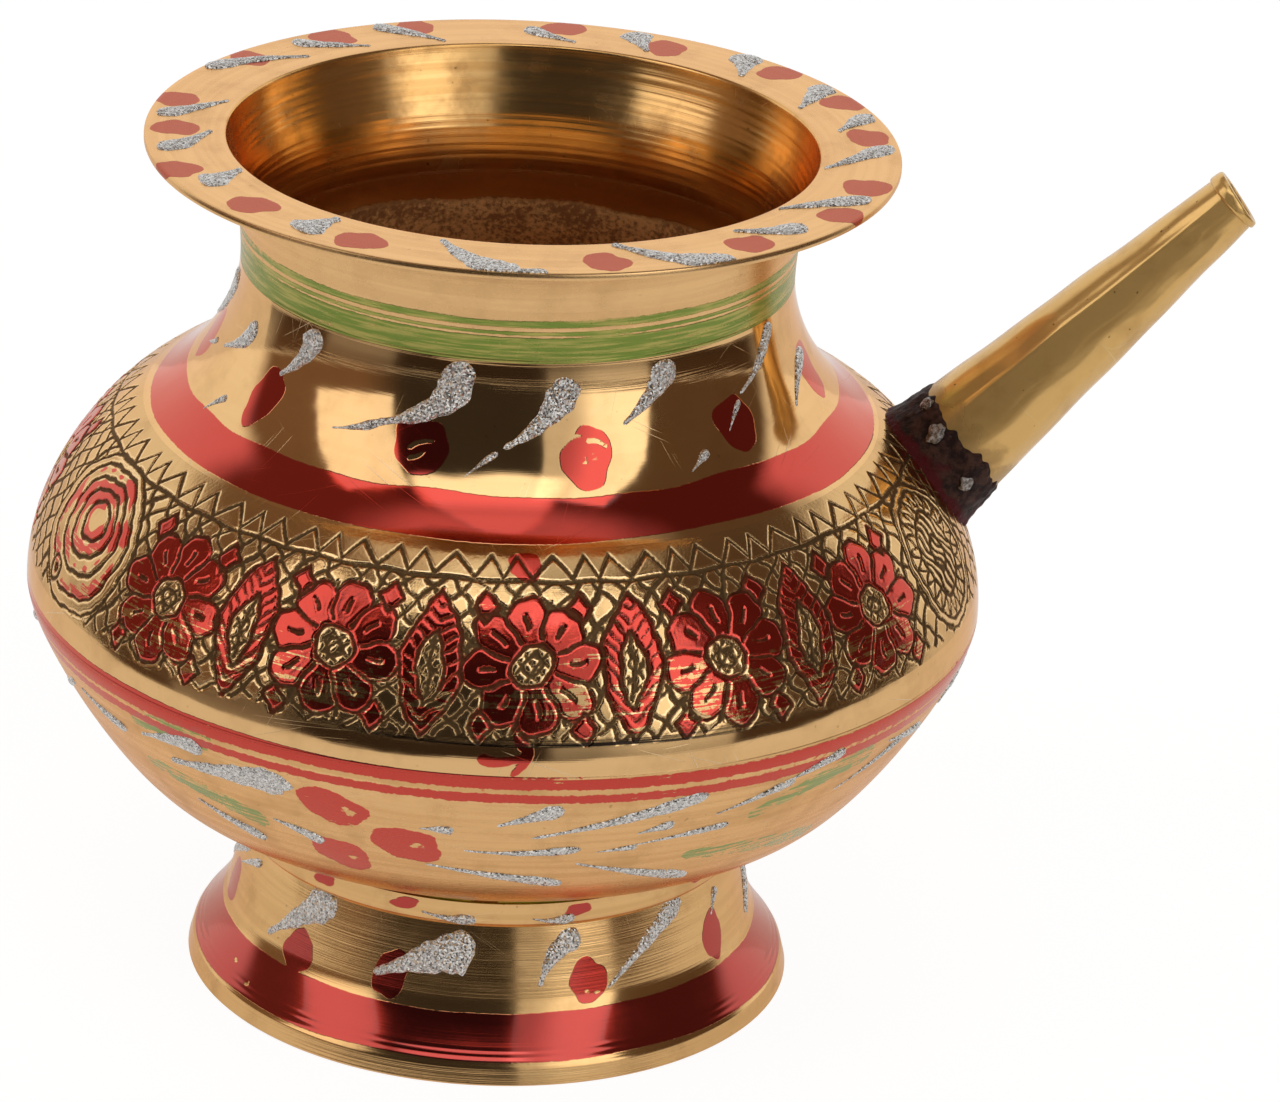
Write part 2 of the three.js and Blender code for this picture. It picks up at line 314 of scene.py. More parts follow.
def grid_faces(rows, columns, row_loop, column_loop, first):
    """Corner numbers of the quads between neighbouring rows and columns of a grid."""
    index = first + np.arange(rows * columns).reshape(rows, columns)
    if row_loop:
        index = np.vstack([index, index[:1]])
    if column_loop:
        index = np.hstack([index, index[:, :1]])
    near, far = index[:-1, :-1], index[:-1, 1:]
    near_up, far_up = index[1:, :-1], index[1:, 1:]
    return np.stack([near, far, far_up, near_up], -1)


def bake_places(shape, strips, row_weight):
    """Places on a square map for the corners of a grid's quads. The columns are cut into
    strips that are stacked with a small gap, and rows take room by their weight."""
    rows, columns = shape
    run = np.r_[0, np.cumsum(row_weight)] / np.sum(row_weight)
    column = np.arange(columns)
    strip = column * strips // columns
    start = np.ceil(strip * columns / strips)
    width = np.ceil((strip + 1) * columns / strips) - start
    across = np.stack([column - start, column + 1 - start], 1) / width[:, None]
    across = 0.004 + 0.992 * across
    up = strip[None, :, None] + 0.01 + 0.98 * np.stack([run[:-1], run[1:]], 1)[:, None, :]
    up = up / strips
    u = np.stack([across[:, 0], across[:, 1], across[:, 1], across[:, 0]], -1)
    v = np.stack([up[..., 0], up[..., 0], up[..., 1], up[..., 1]], -1)
    return np.stack([np.broadcast_to(u, (rows, columns, 4)), v], -1)


def piece(name, grids, materials, paints=(), row_loop=True, column_loop=True, caps=None,
          inside=None, strips=1, sharp=40):
    """A mesh object from one grid of points, or a list of them, each rows by columns by 3 in
    millimetres. Paints are values on the points, named, in the grids' order. A row whose
    points all meet is a pole, and the corners that meet there are dropped. The rows that
    inside marks wear the second material. Caps, a row of flat places, close the two ends of
    a grid whose columns do not meet. Edges sharper than an angle in degrees stay sharp."""
    grids = grids if isinstance(grids, list) else [grids]
    faces, places, slots, caps_made = [], [], [], []
    first = 0
    for grid in grids:
        rows, columns = grid.shape[:2]
        quads = grid_faces(rows, columns, row_loop, column_loop, first)
        poles = np.ptp(grid, axis=1).max(1) < 1e-9
        index = first + np.arange(rows * columns).reshape(rows, columns)
        merged = np.where(poles[:, None], index[:, :1], index).ravel()
        quads = merged[quads - first]
        weight = np.linalg.norm(grid - np.roll(grid, -1, 0), axis=-1).mean(1) + 0.02
        if inside is not None:
            weight = weight * np.where(inside, 0.4, 1.0)
        spots = bake_places(quads.shape[:2], strips, weight[: quads.shape[0]])
        if caps is not None:
            spots = spots * (1, 0.96)
        faces.append(quads.reshape(-1, 4))
        places.append(spots.reshape(-1, 4, 2))
        worn = np.zeros(rows, int) if inside is None else inside.astype(int)
        slots.append(np.repeat(worn[: quads.shape[0]], quads.shape[1]))
        if caps is not None:
            near_cap = np.array(caps) * (0.46, 0.02) + (0.02, 0.97)
            far_cap = (near_cap + (0.5, 0))[::-1]
            caps_made.append((index[:, 0], near_cap))
            caps_made.append((index[::-1, -1], far_cap))
        first += rows * columns
    points = np.concatenate([grid.reshape(-1, 3) for grid in grids]) * MM
    faces, places, slots = map(np.concatenate, (faces, places, slots))
    used = np.unique(faces)
    renumbered = np.zeros(len(points), int)
    renumbered[used] = np.arange(len(used))
    faces = renumbered[faces]
    corners = faces != np.roll(faces, 1, 1)
    full = corners.all(1)
    polygons = faces[full].tolist()
    spots = places[full].reshape(-1, 2).tolist()
    worn = slots[full].tolist()
    for face, place, kept, slot in zip(faces[~full], places[~full], corners[~full], slots[~full]):
        polygons.append(face[kept].tolist())
        spots += place[kept].tolist()
        worn.append(slot)
    for cap, cap_places in caps_made:
        polygons.append(renumbered[cap].tolist())
        spots += cap_places.tolist()
        worn.append(0)
    mesh = bpy.data.meshes.new(name)
    mesh.from_pydata(points[used].tolist(), [], polygons)
    for material in materials:
        mesh.materials.append(material)
    mesh.polygons.foreach_set("material_index", worn)
    for label, values in dict(paints).items():
        layer = mesh.attributes.new(label, "FLOAT", "POINT")
        layer.data.foreach_set("value", values.ravel()[used].astype(np.float32))
    if len(grids) == 1:
        uv = mesh.uv_layers.new(name="OFBake")
        uv.data.foreach_set("uv", np.array(spots, np.float32).ravel())
    mesh.update()
    mesh.shade_smooth()
    mesh.set_sharp_from_angle(angle=math.radians(sharp))
    made = bpy.data.objects.new(name, mesh)
    bpy.context.scene.collection.objects.link(made)
    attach(made, "root")
    return made


def wobble(turns, seed, amount, waves=(2, 3, 5, 8, 13, 21)):
    """A hand's unsteadiness round the pot: a sum of sines with whole numbers of waves,
    weaker as they shorten."""
    draw = np.random.default_rng(seed)
    angle = np.radians(turns)
    total = 0 * angle
    for wave in waves:
        total = total + np.sin(wave * angle + draw.uniform(0, 6.28)) / math.sqrt(wave)
    return amount * total / 1.6


def from_turn(turns, centre):
    """Turns counted from a centre, between -180 and 180."""
    return (np.asarray(turns) - centre + 180) % 360 - 180


def along_outline(run_at, places):
    """Places of (turn, level, and so on), with each level made a distance along an outline
    by the function run_at."""
    return [(turn, run_at(level), *rest) for turn, level, *rest in places]


def leaning(x, y, lean):
    """The same places measured from axes that lean by some degrees."""
    tilt = math.radians(lean)
    return x * math.cos(tilt) + y * math.sin(tilt), y * math.cos(tilt) - x * math.sin(tilt)


def spot(turns, along, radius, centre, wide, tall, lean=0.0, seed=1):
    """Signed distance to a brush dab: an ellipse of half sizes wide and tall round a centre
    (turn, along), leaning by degrees, with an edge that a few waves make uneven."""
    x = np.radians(from_turn(turns, centre[0])) * radius
    x, y = leaning(x, along - centre[1], lean)
    draw = np.random.default_rng(seed)
    bearing = np.arctan2(y / tall, x / wide)
    uneven = 1.0
    for wave in (2, 3, 4, 5, 7):
        uneven = uneven + 0.16 * np.sin(wave * bearing + draw.uniform(0, 6.28)) / wave
    reach = np.sqrt((x / wide) ** 2 + (y / tall) ** 2)
    return (reach - uneven) * math.sqrt(wide * tall)


def dabbed(red, turns, along, radius, dabs, seed, shy=0.0):
    """The lacquer's edge with a row of dabs added to it, each (turn, along, half width, half
    height, lean), and each drawn in by the shy distance."""
    for order, (turn, at, wide, tall, lean) in enumerate(dabs):
        dab = spot(turns, along, radius, (turn, at), wide, tall, lean, seed + order)
        red = np.minimum(red, dab + shy)
    return red


def rubbed(red, turns, along, radius, places, reach, seed):
    """The lacquer's edge with a few dabs rubbed through near their middles: each place
    (turn, along) loses a small cluster of chips."""
    draw = np.random.default_rng(seed)
    for turn, height in places:
        for _ in range(4):
            place = (turn + draw.uniform(-1, 1) * reach, height + draw.uniform(-0.7, 0.7) * reach)
            size = draw.uniform(0.25, 0.6) * reach
            chip = spot(turns, along, radius, place, size * 1.3, size * 0.7, 0, seed)
            red = np.maximum(red, -chip)
    return red


def rounded_path(points, steps):
    """A smooth path through three given points: an arc of a parabola that passes the
    middle one halfway."""
    points = np.array(points, float)
    share = np.linspace(0, 1, steps)[:, None]
    handle = 2 * points[1] - (points[0] + points[2]) / 2
    return (1 - share) ** 2 * points[0] + 2 * share * (1 - share) * handle + share**2 * points[2]


def stroke(turns, along, radius, path, widest, narrowest):
    """Signed distance to a brush stroke: the distance to a path of (turn, along) points, less
    a half width that falls from the head of the stroke to its tail."""
    steps = rounded_path(path, 9)
    middle = steps[:, 0].mean()
    x = np.radians(from_turn(turns, middle)) * radius
    y = along + 0 * x
    mean_radius = np.interp(steps[:, 1].mean(), np.ravel(along), np.ravel(radius))
    path_x = np.radians(steps[:, 0] - middle) * mean_radius
    nearest = np.full(np.shape(x), 1e3)
    for i in range(len(steps) - 1):
        ax, ay = path_x[i], steps[i, 1]
        dx, dy = path_x[i + 1] - ax, steps[i + 1, 1] - ay
        share = np.clip(((x - ax) * dx + (y - ay) * dy) / (dx * dx + dy * dy), 0, 1)
        far = np.hypot(x - ax - share * dx, y - ay - share * dy)
        done = (i + share) / (len(steps) - 1)
        half = narrowest + (widest - narrowest) * np.sqrt(np.clip(1 - done, 0, 1))
        nearest = np.minimum(nearest, far - half)
    return nearest


def group(name, inputs, outputs, build):
    """A shader node group: named float inputs with defaults, named outputs, and a function
    that makes the nodes from the inputs' sockets and returns the outputs' sockets."""
    tree = bpy.data.node_groups.new(name, "ShaderNodeTree")
    for label, default in inputs.items():
        socket = tree.interface.new_socket(name=label, in_out="INPUT", socket_type=number)
        socket.default_value = default
    for label, kind in outputs.items():
        tree.interface.new_socket(name=label, in_out="OUTPUT", socket_type=kind)
    given = tree.nodes.new("NodeGroupInput").outputs
    results = build(tree, given)
    collected = tree.nodes.new("NodeGroupOutput")
    for label, socket in results.items():
        tree.links.new(socket, collected.inputs[label])
    return tree


def placed(tree, shared, **values):
    """One use of a shared node group, with its own values, and the outputs it gives."""
    made = tree.nodes.new("ShaderNodeGroup")
    made.node_tree = shared
    for label, value in values.items():
        socket = made.inputs[label.replace("_", " ").capitalize()]
        if isinstance(value, bpy.types.NodeSocket):
            tree.links.new(value, socket)
        else:
            socket.default_value = value
    return made.outputs


def here(tree, scale=1000.0, stretch=(1, 1, 1), turned=(0, 0, 0)):
    """The place on the object, stretched and then turned; in millimetres if left alone."""
    place = node(tree, "TexCoord").outputs["Object"]
    stretched = [scale * share for share in stretch]
    inputs = {"Vector": place, "Scale": stretched, "Rotation": turned}
    return node(tree, "Mapping", inputs).outputs[0]


def noise(tree, vector, scale, detail=2.0, rough=0.5):
    """A cloudy value around one half, that varies over a place times the scale."""
    inputs = {"Vector": vector, "Scale": scale, "Detail": detail, "Roughness": rough}
    return node(tree, "TexNoise", inputs).outputs["Fac"]


def combed(tree, along, pitch, drift, detail, rough=0.5):
    """Noise in lines that run round the pot: it changes with the distance along the outline
    times the pitch, and only slowly with the place round the pot, by the drift."""
    place = node(tree, "SeparateXYZ", {0: here(tree, drift, (1, 1, 0))}).outputs
    run = sums(tree, "MULTIPLY", along, pitch)
    at = node(tree, "CombineXYZ", {0: run, 1: place["X"], 2: place["Y"]}).outputs[0]
    return noise(tree, at, 1.0, detail, rough)


def ring_nodes(tree, given):
    """Lathe rings: fine and coarse lines round the pot, added, and the coarse ones' tone."""
    fine = combed(tree, given["Along"], given["Fine"], 22.0, 2.0, 0.6)
    coarse = combed(tree, given["Along"], given["Coarse"], 22.0, 2.0)
    height = weighed(tree, 0.0, (coarse, 0.4), (fine, 0.6))
    return {"Height": height, "Tone": slide(tree, coarse, 0.36, 0.66)}


def scratch_nodes(tree, given):
    """Stray scratches on the unrolled surface: ridges of noise stretched very long, in
    several directions, and gathered in patches."""
    place = node(tree, "SeparateXYZ", {0: here(tree)}).outputs
    turn = sums(tree, "ARCTAN2", place["Y"], sums(tree, "SUBTRACT", place["X"], axis_x))
    across = sums(tree, "MULTIPLY", turn, unrolled_radius)
    flat = node(tree, "CombineXYZ", {0: across, 1: given["Along"]}).outputs[0]
    total = None
    for order, turned in enumerate((0.35, 1.1, 2.0, 2.75, 1.45)):
        moved = (order * 7.3, order * 3.1, order * 5.7)
        inputs = {"Vector": flat, "Rotation": (0, 0, turned), "Location": moved}
        lain = node(tree, "Mapping", inputs).outputs[0]
        long = node(tree, "Mapping", {"Vector": lain, "Scale": (6.5, 0.06, 1)}).outputs[0]
        streak = slide(tree, noise(tree, long, 1.0, 0.0), 0.80, 0.835)
        total = streak if total is None else sums(tree, "MAXIMUM", total, streak)
    worn = noise(tree, here(tree), 0.07, 1.0)
    total = sums(tree, "MULTIPLY", total, slide(tree, worn, 0.42, 0.6))
    return {"Mask": sums(tree, "MULTIPLY", total, given["Amount"])}


def stain_nodes(tree, given):
    """Tarnish in soft clouds, and small dark pits."""
    cloud = noise(tree, here(tree), 0.16, 4.0, 0.6)
    pits = noise(tree, here(tree), 1.3, 1.0)
    return {
        "Cloud": sums(tree, "MULTIPLY", slide(tree, cloud, 0.45, 0.75), given["Amount"]),
        "Pits": sums(tree, "MULTIPLY", slide(tree, pits, 0.76, 0.80), given["Amount"]),
    }


def lacquer_nodes(tree, given):
    """Cover of a brushed lacquer from the signed distance to its edge. Noise makes the edge
    ragged, and wear lifts it in chips and in streaks that run round the pot."""
    ragged = noise(tree, here(tree), 1.1, 3.0, 0.6)
    ragged = sums(tree, "MULTIPLY", sums(tree, "SUBTRACT", ragged, 0.5), given["Ragged"])
    edge = sums(tree, "ADD", ragged, given["Edge"])
    streak = combed(tree, given["Along"], 2.6, 120.0, 3.0, 0.65)
    chip = noise(tree, here(tree), 0.55, 4.0, 0.7)
    rubbed = weighed(tree, 0.0, (chip, 0.45), (streak, 0.55))
    level = weighed(tree, 0.78, (given["Wear"], -0.42))
    kept = slide(tree, sums(tree, "SUBTRACT", rubbed, level), -0.012, 0.012, 1.0, 0.0)
    cover = sums(tree, "MULTIPLY", slide(tree, edge, -0.07, 0.07, 1.0, 0.0), kept)
    return {"Cover": cover, "Streak": streak}


def wave_nodes(tree, given):
    """The unevenness that hand polishing leaves: slow bumps a few millimetres across."""
    wide = noise(tree, here(tree), 0.085, 1.0)
    close = noise(tree, here(tree), 0.33, 1.0)
    return {"Height": weighed(tree, wide, (close, 0.05))}


number = "NodeSocketFloat"
unrolled_radius = 45.0
rings = group(
    "lathe_rings",
    {"Along": 0.0, "Fine": 6.0, "Coarse": 1.0},
    {"Height": number, "Tone": number},
    ring_nodes,
)
scratches = group(
    "stray_scratches", {"Along": 0.0, "Amount": 1.0}, {"Mask": number}, scratch_nodes
)
stains = group("tarnish", {"Amount": 1.0}, {"Cloud": number, "Pits": number}, stain_nodes)
lacquer = group(
    "brushed_lacquer",
    {"Edge": 1.0, "Along": 0.0, "Wear": 0.2, "Ragged": 0.5},
    {"Cover": number, "Streak": number},
    lacquer_nodes,
)
waves = group("polish_waves", {}, {"Height": number}, wave_nodes)

red_film = (0.60, 0.050, 0.030, 1)
green_film = (0.23, 0.34, 0.052, 1)
green_thin = (0.54, 0.50, 0.13, 1)
tarnish_brown = (0.36, 0.19, 0.07, 1)
pit_brown = (0.07, 0.04, 0.02, 1)
scratch_pale = (0.95, 0.82, 0.62, 1)
fresh_cut_brass = (0.86, 0.53, 0.22, 1)
metal_edge_tint = (1.0, 0.82, 0.70, 1)
lacquer_ior = 1.75
never = 1000.0
no_paint = 9.0


def laid(tree, name):
    """The value of that name that a piece carries on its points."""
    return node(tree, "Attribute", attribute_name=name).outputs["Fac"]


def dress(tree, shader, colour, rough, height):
    """Joins a colour, a roughness and a height in millimetres to a shader."""
    bump = node(tree, "Bump", {"Height": height, "Distance": MM})
    tree.links.new(colour, shader.inputs["Base Color"])
    tree.links.new(rough, shader.inputs["Roughness"])
    tree.links.new(bump.outputs[0], shader.inputs["Normal"])


def painted_brass(name, metal, dark, gloss, ring_depth, ring_tone, fine, coarse, wave, scratch,
                  stain, red_wear, green_wear, ragged=0.5, tint=red_film, film_shine=0.36,
                  lathe_from=never, green_body=0.0):
    """Brass with lathe rings, polish waves, scratches and tarnish, under red and green
    lacquer where the values red_edge and green_edge fall below zero. The lacquer tints the
    metal below it and has a clear coat of its own, and a green with some body hides a part
    of the metal's gloss. From a distance along the outline, lathe_from, the rings are cut
    deeper."""
    material, tree, shader = finish_of(
        name, Metallic=1.0, Coat_Roughness=0.06, Coat_IOR=lacquer_ior,
        Specular_Tint=metal_edge_tint,
    )
    along, red_edge, green_edge = (laid(tree, key) for key in ("along", "red_edge", "green_edge"))
    ring = placed(tree, rings, along=along, fine=fine, coarse=coarse)
    mark = placed(tree, scratches, along=along, amount=scratch)["Mask"]
    soil = placed(tree, stains, amount=stain)
    red = placed(tree, lacquer, edge=red_edge, along=along, wear=red_wear, ragged=ragged)
    green = placed(tree, lacquer, edge=green_edge, along=along, wear=green_wear, ragged=ragged)
    slow = placed(tree, waves)["Height"]

    toned = sums(tree, "MULTIPLY", ring["Tone"], ring_tone)
    colour = mixed(tree, toned, metal, dark)
    colour = mixed(tree, soil["Cloud"], colour, tarnish_brown)
    colour = mixed(tree, soil["Pits"], colour, pit_brown)
    colour = mixed(tree, sums(tree, "MULTIPLY", mark, 0.5), colour, scratch_pale)
    green_tone = mixed(tree, slide(tree, green["Streak"], 0.42, 0.62), green_film, green_thin)
    colour = mixed(tree, green["Cover"], colour, green_tone)
    colour = mixed(tree, red["Cover"], colour, tint)
    covered = sums(tree, "MAXIMUM", red["Cover"], green["Cover"])
    if green_body:
        metallic = weighed(tree, 1.0, (green["Cover"], -green_body))
        tree.links.new(metallic, shader.inputs["Metallic"])

    rough = weighed(tree, gloss, (toned, 0.10), (soil["Cloud"], 0.18), (mark, 0.2))
    coarser = slide(tree, along, lathe_from, lathe_from + 3.0, ring_depth, ring_depth + 0.014)
    bare_mark = sums(tree, "MULTIPLY", mark, sums(tree, "SUBTRACT", 1.0, covered))
    terms = ((ring["Height"], coarser), (slow, wave), (bare_mark, -0.004), (covered, 0.02))
    height = weighed(tree, 0.0, *terms)
    coat = sums(tree, "MULTIPLY", covered, film_shine)
    tree.links.new(coat, shader.inputs["Coat Weight"])
    dress(tree, shader, colour, rough, height)
    return material


def raw_brass(name, colour, dark, rough, lump, turned_above=never):
    """Brass as it came from the mould, dull and brown, with a grainy skin; above a height it
    was turned, and is smoother and lighter."""
    material, tree, shader = finish_of(name)
    grain = noise(tree, here(tree), 1.6, 5.0, 0.65)
    cloud = noise(tree, here(tree), 0.12, 3.0)
    high = node(tree, "SeparateXYZ", {0: here(tree)}).outputs["Z"]
    high = weighed(tree, high, (cloud, 2.0))
    turned = slide(tree, high, turned_above, turned_above + 1.2)
    shade = slide(tree, weighed(tree, grain, (cloud, 0.7)), 0.72, 0.98)
    colour = mixed(tree, shade, dark, colour)
    colour = mixed(tree, turned, colour, fresh_cut_brass)
    still_raw = weighed(tree, 1.0, (turned, -0.85))
    height = sums(tree, "MULTIPLY", sums(tree, "MULTIPLY", grain, lump), still_raw)
    rough = weighed(tree, rough, (grain, 0.25), (turned, -0.26))
    tree.links.new(weighed(tree, 0.4, (turned, 0.6)), shader.inputs["Metallic"])
    dress(tree, shader, colour, rough, height)
    return material


def turned_size(low, high):
    """Outer radius, base and top of a turned part, in millimetres, from its box."""
    return (high.x - low.x) / 2 / MM, low.z / MM, high.z / MM


foot_radius, foot_base, foot_top = turned_size(*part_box("foot_ring"))
foot_wall = 2.0
collar_radius = 31.3
collar_height = 3.4
neck_of_foot = 30.1
edge_top = 2.5
edge_draw = 0.6
edge_pull = (1.75, 2.1)
cone_end = (32.4, 9.4)
cone_pull = 2.3
cone_slope = (neck_of_foot - cone_end[0]) / (foot_top - collar_height - cone_end[1])
edge_bevel = 0.25
bevel_rows = 3
flare_step = 0.1
foot_grooves = ((2.55, 0.08), (3.3, 0.035), (3.9, 0.03))
groove_spread = 0.15
band_edges = (2.75, 7.6)
drip_height = 20.3
foot_turns = np.linspace(-180, 180, 600, endpoint=False)

flare_top = foot_top - collar_height
foot_flare = np.vstack(
    [
        curve(
            (foot_radius - edge_draw, edge_top),
            (foot_radius - edge_draw - edge_pull[0], edge_top + edge_pull[1]),
            (cone_end[0] - cone_pull * cone_slope, cone_end[1] - cone_pull),
            cone_end,
            44,
        )[:-1],
        line(cone_end, (neck_of_foot, flare_top - flare_step), 24),
        [(neck_of_foot, flare_top - flare_step)],
    ]
)
foot_outer = np.vstack(
    [
        line((foot_radius - edge_bevel, foot_base), (foot_radius, edge_bevel), bevel_rows),
        line((foot_radius, edge_bevel), (foot_radius - edge_draw, edge_top), 12),
        foot_flare,
        curve(
            (neck_of_foot + 0.15, flare_top),
            (collar_radius + 0.15, flare_top + 0.05),
            (collar_radius + 0.1, foot_top - 1.6),
            (collar_radius, foot_top),
            16,
        ),
    ]
)
foot_cut = np.zeros(len(foot_outer))
for groove_height, groove_depth in foot_grooves:
    far = (foot_outer[:, 1] - groove_height) / groove_spread
    foot_cut -= groove_depth * np.exp(-(far**2))
foot_outer += outward(foot_outer, False) * foot_cut[:, None]
foot_inner = np.vstack([foot_flare[::4], [(collar_radius, foot_top)]])
foot_inner = foot_inner - outward(foot_inner, False) * foot_wall
foot_inner[0] = (foot_radius - foot_wall, foot_base)
foot_inner[-1] = (collar_radius - foot_wall, foot_top)
foot_outline = np.vstack([foot_outer, foot_inner[::-1]])
foot_inside = np.arange(len(foot_outline)) >= len(foot_outer)

foot_radius_at = foot_outline[:, :1]
foot_along = run_along(foot_outline)[:, None]
foot_side = slice(bevel_rows, len(foot_outer))


def foot_run(height):
    """Distance run up the foot's outer side at a height."""
    return np.interp(height, foot_outer[foot_side, 1], foot_along[foot_side, 0])


band_low, band_high = foot_run(band_edges)
foot_red = np.abs(foot_along - (band_low + band_high) / 2 - wobble(foot_turns, 3, 0.16))
foot_red = foot_red - (band_high - band_low) / 2 - wobble(foot_turns, 4, 0.12)
foot_dabs = [(-45, 9.8), (-21, 10.8), (22.8, 10.9), (59.5, 11.2), (-80, 10.7)]
foot_dabs += [(turn, 10.6) for turn in (101, 139, 175, 211, 247)]
foot_dabs = along_outline(foot_run, [(*place, 2.3, 2.9, -12) for place in foot_dabs])
drip_turns = (-39.5, -18.8, 20, 53.8, 118, 166, 205, 262)
foot_drips = [(turn, foot_run(drip_height), 2.0, 0.8, 8) for turn in drip_turns]
foot_bare = along_outline(foot_run, [(22.6, 9.8), (-62, 5), (-55, 4), (24.8, 9.2)])
foot_red = dabbed(foot_red, foot_turns, foot_along, foot_radius_at, foot_dabs, 20)
foot_red = dabbed(foot_red, foot_turns, foot_along, foot_radius_at, foot_drips, 40, 0.1)
foot_red = rubbed(foot_red, foot_turns, foot_along, foot_radius_at, foot_bare, 0.5, 3)
foot_red = np.where(foot_inside[:, None], no_paint, foot_red)
# The red lacquer on the foot is a darker copy of red_film: painted shade, so that the foot's band
# renders darker than the same lacquer higher up.
foot_brass_with_shaded_red = painted_brass(
    "turned_foot_brass_shaded_red", metal=(0.80, 0.50, 0.215, 1), dark=(0.58, 0.33, 0.12, 1), gloss=0.12,
    ring_depth=0.017, ring_tone=0.30, fine=5.0, coarse=0.9, wave=0.12, scratch=0.3, stain=0.35,
    red_wear=0.12, green_wear=0.3, ragged=0.22, tint=(0.46, 0.040, 0.027, 1), film_shine=0.42,
)
foot_raw = raw_brass(
    "raw_foot_brass", colour=(0.42, 0.25, 0.10, 1), dark=(0.14, 0.07, 0.03, 1), rough=0.45,
    lump=0.05,
)
foot = piece(
    "foot_turned",
    swept(foot_outline, foot_turns),
    [foot_brass_with_shaded_red, foot_raw],
    {
        "along": foot_along + 0 * foot_turns,
        "red_edge": foot_red,
        "green_edge": 0 * foot_red + no_paint,
    },
    inside=foot_inside,
    strips=2,
)
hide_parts("foot_ring")


# The joint between foot and bowl. A line of solder fills the groove, in a dark brown far
# darker than the brass on either side, and lacquer of both colours has run into it.
joint_radius, joint_base, joint_top = turned_size(*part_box("foot_solder"))
joint_depth = 1.5
joint_inner = joint_radius - joint_depth
joint_outline = np.vstack(
    [
        line((joint_inner, joint_base), (joint_radius, joint_base), 2),
        curve(
            (joint_radius, joint_base),
            (joint_radius - 0.35, joint_base + 0.3),
            (joint_radius - 0.35, joint_top - 0.3),
            (joint_radius, joint_top),
            6,
        )[:-1],
        line((joint_radius, joint_top), (joint_inner, joint_top), 2),
        [(joint_inner, joint_top)],
    ]
)
joint_red = 0.5 + 1.6 * np.sin(np.radians(foot_turns * 3) + 0.8) + wobble(foot_turns, 8, 0.8)
joint_green = 0.7 - 1.6 * np.sin(np.radians(foot_turns * 3) + 1.4) + wobble(foot_turns, 9, 0.8)
joint_rows = np.ones((len(joint_outline), 1))
joint_brass = painted_brass(
    "joint_brass", metal=(0.34, 0.17, 0.06, 1), dark=(0.10, 0.05, 0.02, 1), gloss=0.38,
    ring_depth=0.02, ring_tone=0.8, fine=4.0, coarse=1.0, wave=0.0, scratch=0.2, stain=0.9,
    red_wear=0.5, green_wear=0.5,
)
joint = piece(
    "foot_joint_solder",
    swept(joint_outline, foot_turns),
    [joint_brass],
    {
        "along": run_along(joint_outline)[:, None] + 0 * foot_turns,
        "red_edge": joint_rows * joint_red,
        "green_edge": joint_rows * joint_green,
    },
    strips=2,
)
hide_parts("foot_solder")


# The bowl. The lower half of the belly, cast, and turned to a pale satin outside, with two
# worn red stripes below the girth and dabs and leaves of lacquer round it.
girth_radius, bowl_base, girth_height = turned_size(bowl_low, bowl_high)
body_wall = 1.6
bowl_knee = (43.4, 28.0)
knee_angle = math.radians(33)
bottom_angle = math.radians(27)
bottom_pull = 5.0
knee_pull_down = 5.0
knee_pull_up = 6.8
bowl_girth_pull = 3.1
bottom_rows = 6
upper_level, lower_level = 49.75, 47.45
run_level = 22.9
further_round = (118, 236)
body_turns = np.linspace(-180, 180, 540, endpoint=False)

knee_way = np.array((math.cos(knee_angle), math.sin(knee_angle)))
bottom_way = np.array((math.cos(bottom_angle), math.sin(bottom_angle)))
bowl_curve = np.vstack(
    [
        curve(
            (collar_radius, bowl_base),
            np.array((collar_radius, bowl_base)) + bottom_pull * bottom_way,
            bowl_knee - knee_pull_down * knee_way,
            bowl_knee,
            28,
        )[:-1],
        curve(
            bowl_knee,
            bowl_knee + knee_pull_up * knee_way,
            (girth_radius - 0.05, girth_height - bowl_girth_pull),
            (girth_radius, girth_height),
            44,
        ),
    ]
)
bowl_outer = np.vstack([line((0, bowl_base), (collar_radius, bowl_base), bottom_rows), bowl_curve])
bowl_inner = (bowl_curve - outward(bowl_curve, False) * body_wall)[::4]
bowl_inner[0] = (collar_radius, bowl_base + body_wall)
bowl_inner[-1] = (girth_radius - body_wall, girth_height)
bowl_floor = line((collar_radius, bowl_base + body_wall), (0, bowl_base + body_wall), 8)
bowl_outline = np.vstack(
    [bowl_outer, bowl_inner[:0:-1], bowl_floor, [(0, bowl_base + body_wall)]]
)
bowl_inside = np.arange(len(bowl_outline)) >= len(bowl_outer) - 1
bowl_along = run_along(bowl_outline)[:, None]
bowl_radius_at = bowl_outline[:, :1]
outer_rows = slice(len(bowl_outer))


def bowl_run(height):
    """Distance run from the middle of the bottom up the bowl's outer side at a height."""
    side = bowl_along[bottom_rows : bottom_rows + len(bowl_curve), 0]
    return np.interp(height, bowl_curve[:, 1], side)


